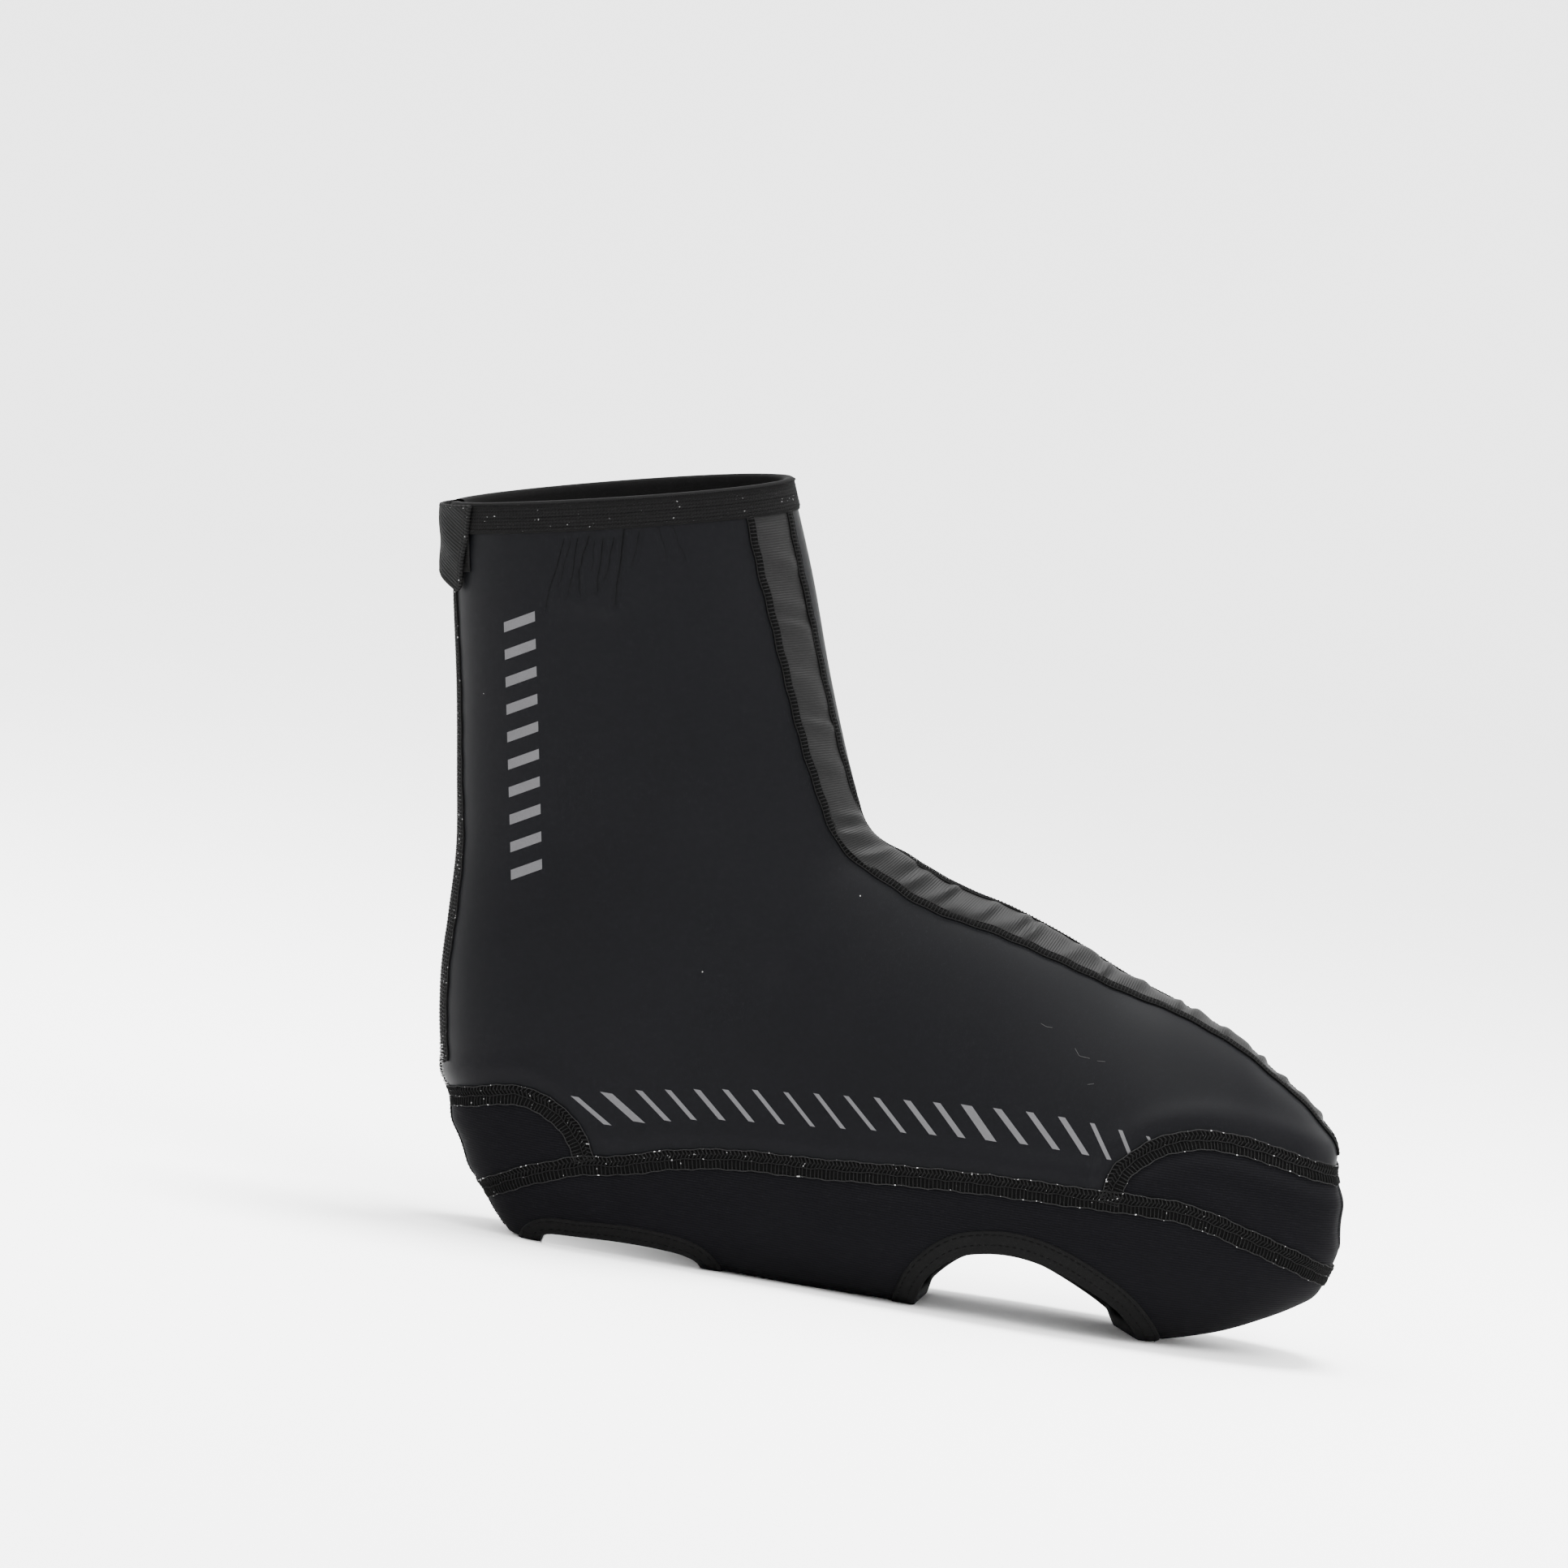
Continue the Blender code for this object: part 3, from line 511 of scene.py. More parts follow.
# cloths: dark and light grey, the fuzz's scale and its depth, roughness
plainCloths = {
    "lining": (0.0036, 0.0079, 1800.0, 0.15 * mm, 0.85),
    "bindingTape": (0.0014, 0.0036, 2400.0, 0.12 * mm, 0.85),
    "seamGround": (0.0004, 0.0012, 2400.0, 0.10 * mm, 0.85),
    "ladderThread": (0.0028, 0.0080, 2600.0, 0.08 * mm, 0.85),
    "whiteThread": (0.14, 0.26, 2500.0, 0.05 * mm, 0.85),
    "dust": (0.016, 0.030, 2500.0, 0.05 * mm, 0.85),
    "zipTape": (0.0029, 0.0058, 1800.0, 0.12 * mm, 0.85),
    "zipCoil": (0.0036, 0.0050, 900.0, 0.03 * mm, 0.42),
    "hookPatch": (0.0036, 0.0065, 1600.0, 0.10 * mm, 0.6),
}
# threads: dark and light grey, the grey of the odd pale end of yarn, and how rare such ends are
speckThreads = {"seamThread": (0.0016, 0.0062, 0.16, 0.75), "edgeThread": (0.0040, 0.0140, 0.30, 0.70),
                "paleThread": (0.0030, 0.0110, 0.26, 0.72)}


def coatedFoam():
    # smooth coating, a little patchy, with painted shade in the folds and a few bright specks of dust
    material, start = newShader("coatedFoam", coated["roughness"], coated["specular"])
    spots = spotsOf(start)
    patches = noise(spots, coated["patches"], 4.0)
    colour = mixColour(patches, coated["colour"], coated["lighter"])
    # painted shade: the coating darkened where the skin lies deep in a narrow fold
    colour = mixColour(partOf(wayOf(start), "X") * 0.6, colour, coated["folded"])
    cells = start.node("TexVoronoi", {"feature": "F1"}, {"Vector": spots, "Scale": coated["dustScale"]})
    rare = noise(spots, coated["dustSpread"], 1.0)
    speck = cells.math("LESS_THAN", cells, rare * coated["dustSize"])
    colour = mixColour(speck * 0.8, colour, coated["dust"])
    feed("Roughness", patches * 0.10 + (coated["roughness"] - 0.05))
    feedBoth(colour, noise(spots, coated["grain"], 2.0), coated["grainDepth"], 0.5)
    return material


def stretchKnit():
    # fine ribs that run along the foot, broken up by the knit's own cells
    material, start = newShader("stretchKnit", stretch["roughness"], stretch["specular"])
    spots = spotsOf(start)
    turned = partOf(spots, "Z") * (2 * math.pi / stretch["ribPitch"]) + noise(spots, 60.0, 2.0) * 5.0
    shade = (wave(turned) * 0.5 + 0.5) * 0.6 + noise(spots, 1500.0, 2.0) * 0.5
    feedBoth(mixColour(shade, stretch["colour"], stretch["lighter"]), shade, stretch["ribDepth"], 0.8)
    return material


def plainCloth(name, dark, light, scale, depth, roughness):
    material, start = newShader(name, roughness, 0.04)
    fuzz = noise(spotsOf(start), scale, 3.0, 0.6)
    feedBoth(mixColour(fuzz, grey(dark), grey(light)), fuzz, depth, 0.7)
    return material


def speckThread(name, dark, light, pale, share):
    material, start = newShader(name, 0.85, 0.07)
    spots = spotsOf(start)
    fuzz = noise(spots, 3000.0, 2.0)
    speck = start.math("GREATER_THAN", noise(spots, 900.0, 1.0), share)
    colour = mixColour(speck, mixColour(fuzz, grey(dark), grey(light)), grey(pale))
    feedBoth(colour, fuzz, 0.08 * mm, 0.6)
    return material


def strapCloth():
    # twill: fine ribs at a slant over the strap, from its own lengths
    material, start = newShader("strapTwill", twill["roughness"], twill["specular"])
    way = wayOf(start)
    along, down = partOf(way, "X"), partOf(way, "Y")
    wander = noise(way, 120.0, 2.0)
    ribs = wave((along * 0.6 + down) * (2 * math.pi / twill["pitch"]) + wander * 1.5)
    weave = wave((along - down * 0.6) * (2 * math.pi / twill["weavePitch"]))
    shade = ribs * 0.38 + weave * 0.12 + 0.5
    feedBoth(mixColour(shade, grey(twill["dark"]), grey(twill["light"])), shade, twill["depth"], 1.0)
    return material


def stripCloth():
    # smooth elastic cloth with a soft sheen and fine ribs across it
    material, start = newShader("frontStrip", elastic["roughness"], elastic["specular"])
    way = wayOf(start)
    fuzz = noise(way, 700.0, 2.0)
    ribs = wave(partOf(way, "X") * (2 * math.pi / elastic["pitch"]) + fuzz * 2.0) * 0.5 + 0.5
    colour = mixColour(ribs * 0.7 + fuzz * 0.3, grey(elastic["dark"]), grey(elastic["light"]))
    feedBoth(colour, ribs, elastic["depth"], 0.8)
    return material


def reflectivePrint():
    material, start = newShader("reflectivePrint", printing["roughness"], printing["specular"])
    spots = spotsOf(start)
    grain = noise(spots, 1900.0, 2.0)
    shade = grain * 0.5 + noise(spots, 90.0, 4.0) * 0.5
    colour = mixColour(shade, grey(printing["dark"]), grey(printing["light"], printing["tint"]))
    feedBoth(colour, grain, printing["depth"], 0.5)
    return material


def paleFloor():
    material, start = newShader("paleFloor", 0.9, 0.1)
    feed("Base Color", mixColour(noise(spotsOf(start), 3.0), grey(0.90), grey(0.93)))
    return material


paint = {name: plainCloth(name, *values) for name, values in plainCloths.items()}
paint |= {name: speckThread(name, *values) for name, values in speckThreads.items()}
paint |= {"coatedFoam": coatedFoam(), "stretchKnit": stretchKnit(), "strapTwill": strapCloth(),
          "frontStrip": stripCloth(), "reflectivePrint": reflectivePrint(), "paleFloor": paleFloor()}

# Panels: the skin's faces, shared out by the lines that its seams follow
faceSpots = (smoothSkin[:-1, :-1] + smoothSkin[1:, 1:] + smoothSkin[:-1, 1:] + smoothSkin[1:, :-1]) / 4
faceSide = faceSpots[..., [0, 2]]
faceReach = (rowReaches[:-1, :-1] + rowReaches[1:, 1:]) / 2
facePlace = np.repeat(((rowPlaces[:-1] + rowPlaces[1:]) / 2)[:, None], faceReach.shape[1], 1)
lengthOut, lengthIn = [np.interp(facePlace, skinPlaces, lengths) for lengths in (outerLength, innerLength)]
faceFront = np.where(faceReach < 0, faceReach + lengthOut, faceReach - lengthIn)   # + is the outer side


def stripEdges(places):
    table = np.array(stripReaches) * [1, cover["stripWidth"], cover["stripWidth"]]
    return np.interp(places, table[:, 0], table[:, 1]), -np.interp(places, table[:, 0], table[:, 2])


def zipMiddle(places):
    return -np.interp(places, *np.array(zipLeans).T) * cover["zipOpening"]


def overLine(spots, line):
    return spots[..., 1] > np.interp(spots[..., 0], *line.T)


overSeam = overLine(faceSide, seamLines["side"])
inHeel = overSeam & ~overLine(faceSide, seamLines["heel"]) & (faceSide[..., 0] < seamLines["heel"][-1, 0])
inToe = overSeam & ~overLine(faceSide, seamLines["toe"]) & (faceSide[..., 0] > seamLines["toe"][0, 0])
cutOut = np.zeros(overSeam.shape, bool)
for name in openingLines:
    cutOut |= openingDistance(faceSpots, name) < cover["bindingWidth"] / 2
inZip = (np.abs(faceReach - zipMiddle(facePlace)) < cover["zipOpening"] * 0.6) & (facePlace < cover["zipEnd"])
stripOut, stripIn = stripEdges(facePlace)
inStrip = (faceFront < stripOut) & (faceFront > stripIn) & (facePlace < cover["stripEnd"]) & ~inToe
panels = {
    "upper": (overSeam & ~inHeel & ~inToe & ~inZip & ~inStrip, "coatedFoam", "upper", "coated_foam"),
    "heelPanel": (inHeel, "stretchKnit", "heel_panel", "stretch_fabric"),
    "toePanel": (inToe, "stretchKnit", "toe_panel", "stretch_fabric"),
    "underfoot": (~overSeam, "stretchKnit", "underfoot", "stretch_fabric"),
}
# the way attribute's first value is the painted shade of the folds, its second the reach
skinWay = np.stack([foldShade, rowReaches, 0 * foldShade], -1)
for name, (mask, finish, node, slot) in panels.items():
    addPiece(name, [gridPart(skin, mask & ~cutOut)], [finish], node, skinWay, solid=False)

# The inner face, a wall's thickness inside the skin and three times as coarse
rows, across = skin.shape[:2]
pickDown, pickOver = [np.unique(np.append(np.arange(0, count, 3), count - 1)) for count in (rows, across)]
inside = (skin - gridNormals(skin) * cover["wall"])[np.ix_(pickDown, pickOver)]
insideKeep = (~cutOut & ~inZip)[np.ix_(pickDown[:-1], pickOver[:-1])]
insideFaces = gridFaces(*inside.shape[:2], insideKeep)[:, ::-1]
addPiece("lining", [(inside, insideFaces, 0)], ["lining"], solid=False)

skinTree = BVHTree.FromPolygons(skin.reshape(-1, 3).tolist(), gridFaces(rows, across).tolist())


def onSkin(points):
    found = [skinTree.find_nearest(Vector(spot))[0][:] for spot in points.reshape(-1, 3)]
    return np.array(found).reshape(points.shape)


def castAcross(x, z, half=-1):
    # where a ray across the foot first meets the skin, from the outer side (-1) or the inner one
    return skinTree.ray_cast(Vector((x, 0.3 * half, z)), Vector((0, -half, 0)))[:2]


def resampled(points, step, closed=False):
    points = np.concatenate([points, points[:1]]) if closed else points
    run = runAlong(points)
    spots = np.linspace(0, run[-1], max(int(run[-1] / step), 2) + 1)
    return np.stack([np.interp(spots, run, points[:, axis]) for axis in range(points.shape[1])], 1)


def eased(points, reach, closed=False):
    # moving average over a number of points to either side
    before, after = (points[-reach - 1:-1], points[1:reach + 1]) if closed else (
        np.repeat(points[:1], reach, 0), np.repeat(points[-1:], reach, 0))
    total = np.cumsum(np.concatenate([np.zeros((1,) + points.shape[1:]), before, points, after]), 0)
    return (total[2 * reach + 1:] - total[:-2 * reach - 1]) / (2 * reach + 1)


def sideHits(line, half, lean):
    # a line seen from the side, laid on the skin; lean follows the cleat's opening on the inner side
    hits = []
    for x, z in resampled(line, 0.5 * mm):
        y = cover["ball"] / 2
        for attempt in range(4 if lean and half > 0 else 1):
            shrink, drop = cleatLean(y) if lean and half > 0 else (1, 0)
            hit = castAcross(cleatMiddle + (x - cleatMiddle) * shrink, z - drop, half)[0]
            if hit is None:
                break
            y = hit.y
        else:
            hits.append(hit[:])
    return np.array(hits)


def bothSides(line, lean=False, fromEnd=False):
    # a path along the outer side and back along the inner one, from the line's start or from its end
    outer, inner = sideHits(line, -1, lean), sideHits(line, 1, lean)
    return np.concatenate([outer[::-1], inner] if fromEnd else [outer, inner[::-1]])


def tangentsOf(rows, closed):
    if not closed:
        return np.gradient(rows, axis=0)
    wide = np.concatenate([rows[-2:-1], rows, rows[1:2]])
    return wide[2:] - wide[:-2]


def makeTrack(path, halfWidth, closed=False, across=9):
    # a strip of skin along a path: rows along it, columns across it to its left, seen from outside
    path = onSkin(eased(resampled(path, 0.5 * mm, closed), 3, closed))
    if closed:
        path[-1] = path[0]
    found = [skinTree.find_nearest(Vector(spot))[1][:] for spot in path]
    sideways = np.cross(eased(np.array(found), 4, closed), unit(tangentsOf(path, closed)))
    sideways = eased(unit(sideways), 4, closed)
    grid = onSkin(path[:, None] + sideways[:, None] * np.linspace(-halfWidth, halfWidth, across)[:, None])
    grid = eased(grid, 2, closed)
    normals = unit(np.cross(tangentsOf(grid, closed), np.gradient(grid, axis=1)))
    return {"grid": grid, "normals": eased(normals, 2, closed), "length": runAlong(path)[-1],
            "half": halfWidth, "closed": closed}


def onTrack(track, along, across, lift):
    # points at lengths along a track, lengths across it and heights over it, with their normals
    along, across, lift = np.broadcast_arrays(along, across, lift)
    lastRow, lastColumn = track["grid"].shape[0] - 1, track["grid"].shape[1] - 1
    share = along / track["length"]
    row = (share % 1.0 if track["closed"] else np.clip(share, 0, 1)) * lastRow
    column = np.clip((across / track["half"] + 1) / 2, 0, 1) * lastColumn
    row0, column0 = np.minimum(row.astype(int), lastRow - 1), np.minimum(column.astype(int), lastColumn - 1)
    a, b = (row - row0)[..., None], (column - column0)[..., None]
    grid, normals = [(values[row0, column0] * (1 - b) + values[row0, column0 + 1] * b) * (1 - a)
                     + (values[row0 + 1, column0] * (1 - b) + values[row0 + 1, column0 + 1] * b) * a
                     for values in (track["grid"], track["normals"])]
    return grid + normals * lift[..., None], normals


def sweep(track, outline, shift=None):
    # outline is a closed row of (across, lift) in mm, turned round the track
    along = np.linspace(0, track["length"], max(int(track["length"] / (0.8 * mm)), 3) + 1)[:, None]
    if track["closed"]:
        along[-1] = 0
    across, lift = np.array(outline).T * mm
    spots = onTrack(track, along, across + shift(along) if shift else across, lift)[0]
    return gridPart(np.concatenate([spots, spots[:, :1]], 1))


def tubes(paths, ups, radius, sides=4, kind=0):
    # round threads along many short paths at once
    run = unit(np.gradient(paths, axis=1))
    first = unit(np.cross(run, ups))
    turns = np.arange(sides) * 2 * math.pi / sides
    second = np.cross(first, run)
    ring = first[:, :, None] * np.cos(turns)[:, None] + second[:, :, None] * np.sin(turns)[:, None]
    points = paths[:, :, None] + ring * np.broadcast_to(radius, paths.shape[:2])[:, :, None, None]
    index = np.arange(points[..., 0].size).reshape(points.shape[:3])
    ahead = np.roll(index, -1, 2)
    faces = np.stack([index[:, :-1], ahead[:, :-1], ahead[:, 1:], index[:, 1:]], -1).reshape(-1, 4)
    return points, faces, kind


def threads(track, along, across, lift, radius, kind=0, sides=4):
    # threads that lie on a track, one for each row of the lengths
    return tubes(*onTrack(track, along, across, lift), radius, sides, kind)


def beats(track, pitch, steps, low=0.0):
    # where the stitches of a row start, as a column, and the shares along one of them, as a row
    count = int(track["length"] / pitch)
    return (np.arange(count) * track["length"] / count)[:, None], np.linspace(low, 1, steps)[None]


flatlock = {
    "pitch": 1.30 * mm, "thread": 0.20 * mm, "edge": 3.5, "lift": 0.55, "half": 4.2 * mm, "jitter": 0.08 * mm,
    # loops, in mm: from and to across, lean along the seam, share of the lift, rise, share of the thread
    "loops": ((-0.15, -3.4, 0.25, 0.75, 0.28, 1.0), (0.1, 2.0, 0.9, 0.8, 0.30, 1.1),
              (1.5, 3.4, -0.9, 0.8, 0.36, 1.1)),
    # threads that run along the seam: place across, rise, finish
    "runs": ((-3.4, 0.35, 2), (3.4, 0.45, 2), (0.0, 0.62, 1)), "runStep": 0.35 * mm, "runThread": 0.18 * mm,
}


def flatlockSeam(name, path, closed, node, flip=1):
    # a soft ground with a ladder of threads on one half and a braid of loops on the other
    track = makeTrack(path, flatlock["half"], closed)
    edge, lift = flatlock["edge"], flatlock["lift"]
    parts = [sweep(track, [(-edge, -0.2), (-edge * 0.96, lift * 0.45), (-edge * 0.6, lift * 0.8),
                           (-0.4, lift * 0.75), (0.0, lift * 0.45), (0.4, lift * 0.75),
                           (edge * 0.6, lift * 0.95), (edge * 0.96, lift * 0.5), (edge, -0.2)])]
    start, step = beats(track, flatlock["pitch"], 6)
    start = start + rng.normal(0, flatlock["jitter"], start.shape)
    for low, high, lean, base, rise, thick in flatlock["loops"]:
        across = (low + step * (high - low)) * mm * flip
        over = (lift * base + rise * np.sin(np.pi * step)) * mm
        parts.append(threads(track, start + step * lean * mm, across, over, flatlock["thread"] * thick, 1))
    steps = np.arange(int(track["length"] / flatlock["runStep"]) + 1)[None] * flatlock["runStep"]
    for across, rise, kind in flatlock["runs"]:
        beat = np.abs(np.sin(np.pi * steps / flatlock["pitch"])) * 0.22
        drift = 0.16 * np.sin(steps * 410 + across) + 0.12 * np.sin(steps * 1130)
        parts.append(threads(track, steps, (across + drift) * mm * flip, (rise + beat) * mm,
                             flatlock["runThread"], kind))
    addPiece(name, parts, ["seamGround", "seamThread", "edgeThread"], node)


flatlockSeam("sideSeam", bothSides(seamLines["side"]), True, "side_seam")
flatlockSeam("heelSeam", bothSides(seamLines["heel"], fromEnd=True), False, "heel_seam", -1)
flatlockSeam("toeSeam", bothSides(seamLines["toe"]), False, "toe_seam")

tape = {"width": 7.2, "wall": 0.8, "foam": 2.0, "row": 2.2 * mm, "thread": 0.20 * mm, "half": 8.0 * mm,
        "rows": (5.9, 2.6), "stitchShare": 0.62}


def edgeTape(name, opening, node):
    # a tape folded over the wall's edge, with two rows of small stitches; the fold lies at 0
    track = makeTrack(bothSides(openingLines[opening], opening == "cleat"), tape["half"], True, 17)
    width, wall, foam = tape["width"], tape["wall"], tape["foam"]
    fold = [(0.3 - 1.1 * math.sin(turn), -foam / 2 + (foam / 2 + wall) * math.cos(turn))
            for turn in np.linspace(0.15, math.pi - 0.15, 9)]
    outer = [(width, 0.05), (width - 0.15, wall * 0.7), (width - 0.6, wall), (width * 0.7, wall * 0.92),
             (width * 0.45, wall * 1.05), (width * 0.2, wall * 0.98)]
    inner = [(width * 0.3, -foam - wall), (width * 0.8, -foam - wall), (width, -foam - wall * 0.4),
             (width, -foam)]
    parts = [sweep(track, outer + fold + inner)]
    start, step = beats(track, tape["row"], 4)
    along = start + step * tape["row"] * tape["stitchShare"]
    for across in tape["rows"]:
        rise = (wall * 0.85 + 0.16 * np.sin(np.pi * step)) * mm
        parts.append(threads(track, along, across * mm, rise, tape["thread"], 1))
    addPiece(name, parts, ["bindingTape", "seamGround"], node)


edgeTape("heelOpeningTape", "heel", "heel_opening_binding")
edgeTape("cleatOpeningTape", "cleat", "cleat_opening_binding")


def coverAt(places, reachRows):
    # points of the smooth cover and their outward normals, at lengths from the back (+ is inner)
    points = coverPoint(places[:, None], anglesAt(places, reachRows))
    lower = coverPoint(places[:, None] + 0.05, anglesAt(places + 0.05, reachRows))
    return points, unit(np.cross(np.gradient(points, axis=1), lower - points))


def pathAt(places, reachColumn):
    return coverPoint(places[:, None], anglesAt(places, reachColumn))[:, 0]


def fromFront(places, fronts):
    # lengths from the back for lengths from the front fold, + to the outer side
    out, into = sideLengths(places)
    return np.where(fronts >= 0, fronts - out[:, None], into[:, None] + fronts)


def dropPlace(drop):
    # the place along the sections that lies so far below the collar's edge
    middle = (profile["front"][:2] + profile["back"][:2]) / 2
    return drop / np.linalg.norm(middle[0] - middle[1])


def clearOfToe(spots, gap=0.0):
    # spots over the toe seam, and as far from it as the gap
    away = lineDistance(spots, seamLines["toe"]) > gap if gap else True
    return (overLine(spots, seamLines["toe"]) & away) | (spots[..., 0] < seamLines["toe"][0, 0])


# The front strip: gathered cloth that swells between its seams, more so on the foot than on the shaft
strip = {"columns": 44, "rowStep": 0.6 * mm, "shaftPitch": 14.5 * mm, "footPitch": 12.0 * mm,
         "shaftWave": 0.60 * mm, "footWave": 0.95 * mm, "skew": 0.22, "bendPlace": 5.0, "bendHalf": 1.5,
         "topFade": 6 * mm, "toeFade": 12 * mm, "base": 0.1 * mm}


def frontStrip():
    places = evenPlaces(strip["rowStep"], dropPlace(cover["collarBindingHeight"] * 0.8), cover["stripEnd"])
    outer, inner = stripEdges(places)
    share = np.linspace(-1, 1, strip["columns"])
    fronts = (outer + inner)[:, None] / 2 + (outer - inner)[:, None] / 2 * share
    points, normals = coverAt(places, fromFront(places, fronts))
    run = runAlong(points[:, -1])
    foot = smoothStep(strip["bendPlace"] - strip["bendHalf"], strip["bendPlace"] + strip["bendHalf"], places)
    pitch = strip["shaftPitch"] + (strip["footPitch"] - strip["shaftPitch"]) * foot
    height = strip["shaftWave"] + (strip["footWave"] - strip["shaftWave"]) * foot
    beat = np.concatenate([[0], np.cumsum(np.diff(run) / pitch[1:])])
    beat = beat + 0.22 * np.sin(beat * 2.3 + 1.0) + 0.13 * np.sin(beat * 5.1)
    phase = 2 * np.pi * (beat[:, None] + strip["skew"] * share)
    swell = (0.55 + 0.45 * np.cos(phase)) ** 1.3
    crown = 1 - np.abs(share) ** 2.6
    near = 1 + 0.5 * share * np.sin(phase * 0.5 + 0.7)
    lift = height[:, None] * swell * crown * near * 1.3
    fade = smoothStep(0, strip["topFade"], run) * smoothStep(run[-1], run[-1] - strip["toeFade"], run)
    spots = points + normals * (lift * fade[:, None] + strip["base"])[..., None]
    way = np.stack([run[:, None] + 0 * share, fronts, 0 * fronts], -1)
    part = gridPart(spots, clearOfToe(spots[:-1, :-1][..., [0, 2]]))
    addPiece("frontStrip", [part], ["frontStrip"], "front_strip", way, solid=False)


overlock = {"pitch": 1.25 * mm, "thread": 0.20 * mm, "half": 1.45, "jitter": 0.06 * mm, "lean": 0.22 * mm,
            "wobble": 0.18 * mm, "wobblePitch": 12.0 * mm, "runStep": 0.4 * mm, "runThread": 0.17 * mm}


def narrowSeam(name, path, node, flip=1, half=overlock["half"],
               finishes=("seamGround", "ladderThread")):
    # a rolled edge with threads laid across it and a running thread beside it
    track = makeTrack(path, (half + 1.2) * mm)

    def wobble(along):
        return overlock["wobble"] * np.sin(along * 2 * np.pi / overlock["wobblePitch"])

    parts = [sweep(track, [(-half, -0.2), (-half * 0.9, 0.3), (-half * 0.4, 0.62), (0.0, 0.72),
                           (half * 0.5, 0.6), (half * 0.9, 0.3), (half, -0.2)], wobble)]
    start, step = beats(track, overlock["pitch"], 7, -1)
    along = start + step * overlock["lean"] + rng.normal(0, overlock["jitter"], start.shape)
    across, rise = step * (half - 0.1) * mm + wobble(along), (0.42 + 0.42 * (1 - step ** 2)) * mm
    parts.append(threads(track, along, across, rise, overlock["thread"], 1))
    steps = np.arange(int(track["length"] / overlock["runStep"]) + 1)[None] * overlock["runStep"]
    for side, rise in ((-half + 0.15, 0.5), (half - 0.2, 0.45)):
        lift = (rise + np.abs(np.sin(np.pi * steps / overlock["pitch"])) * 0.12) * mm
        parts.append(threads(track, steps, side * flip * mm + wobble(steps), lift, overlock["runThread"], 1))
    addPiece(name, parts, finishes, node)


def frontSeam(name, node, edge, flip):
    # edge is 0 for the strip's outer side, 1 for its inner one
    places = evenPlaces(1.0 * mm, dropPlace(cover["collarBindingHeight"] * 0.9), cover["stripEnd"])
    path = pathAt(places, fromFront(places, stripEdges(places)[edge][:, None]))
    narrowSeam(name, path[clearOfToe(path[:, [0, 2]], 3.0 * mm)], node, flip)


frontStrip()
frontSeam("frontSeamOuter", "front_seam_outer", 0, 1)
frontSeam("frontSeamInner", "front_seam_inner", 1, -1)

collarTape = {
    "columns": 360, "stitchPitch": 1.1 * mm, "rows": (2.0, 3.1, 4.2, 5.3, 6.4, 7.6, 8.7), "thread": 0.16 * mm,
    # its section: drop below the collar's edge and height over the cover, in mm, out and back inside
    "section": ((10.0, 0.0), (9.95, 0.45), (9.5, 0.72), (8.7, 0.62), (7.9, 0.80), (6.2, 0.82), (4.9, 0.66),
                (3.7, 0.85), (2.7, 0.84), (2.1, 0.60), (1.5, 0.88), (0.7, 1.02), (0.0, 0.85), (-0.4, 0.3),
                (-0.55, -0.6), (-0.5, -1.5), (-0.3, -2.3), (0.3, -2.8), (2.0, -2.9), (6.0, -2.9),
                (9.6, -2.8), (10.0, -2.2), (10.0, 0.0)),
    "trackRows": (5, 7), "trackDrop": 4.95, "trackHalf": 4.6 * mm,
    "ropePitch": 0.8 * mm, "ropePlace": 4.6 * mm, "ropeThread": 0.26 * mm,
}


def collarBinding():
    # the tape over the collar's edge, with rows of crossed stitches and a rope along its top
    share = np.linspace(0, 1, collarTape["columns"] // 2)
    slit = cover["zipOpening"] / 2 + 0.3 * mm
    made = []
    for drop, lift in collarTape["section"]:
        places = np.array([dropPlace(drop * mm)])
        out, into = sideLengths(places)
        outerReach = -(slit + share * (out[0] - slit))
        innerReach = (slit + share[::-1] * (into[0] - slit))[1:]
        points, normals = coverAt(places, np.concatenate([outerReach, innerReach])[None])
        made.append(points[0] - normals[0] * lift * mm)
    points = np.array(made).transpose(1, 0, 2)
    low, high = collarTape["trackRows"]
    track = makeTrack((points[:, low] + points[:, high]) / 2, collarTape["trackHalf"])
    parts = [gridPart(points)]
    start, step = beats(track, collarTape["stitchPitch"], 5)
    arch = np.sin(np.pi * step)
    for drop in collarTape["rows"]:
        for lean, shift in ((0.28, 0.0), (-0.28, 0.22)):
            along = start + step * collarTape["stitchPitch"] * 0.9 + shift * mm
            across = (collarTape["trackDrop"] - drop + lean * arch) * mm
            parts.append(threads(track, along, across, (0.74 + 0.12 * arch) * mm, collarTape["thread"], 1))
    pitch = collarTape["ropePitch"]
    step = np.linspace(-1, 1, 6)[None]
    along = np.arange(int(track["length"] / pitch))[:, None] * pitch + step * pitch / 2
    lift = (0.95 + 0.25 * np.cos(step * np.pi / 2)) * mm
    parts.append(threads(track, along, collarTape["ropePlace"], lift, collarTape["ropeThread"], 0, 5))
    addPiece("collarTape", parts, ["bindingTape", "seamThread"], "collar_binding")


collarBinding()


def slab(middle, normals, half, power=4.0):
    # a closed soft-edged sheet about a grid of points; both faces meet on the grid's rim
    rows, across = middle.shape[:2]
    down, over = np.linspace(-1, 1, rows)[:, None], np.linspace(-1, 1, across)
    lift = normals * (half * ((1 - down ** 30) * (1 - over ** 30)) ** (1 / power))[..., None]
    faces = gridFaces(rows, across)
    index = np.arange(rows * across).reshape(rows, across)
    second = index + rows * across
    for edge in (np.s_[[0, -1]], np.s_[:, [0, -1]]):
        second[edge] = index[edge]
    faces = np.concatenate([faces, second.ravel()[faces][:, ::-1]])
    return np.stack([middle + lift, middle - lift]), faces, 0


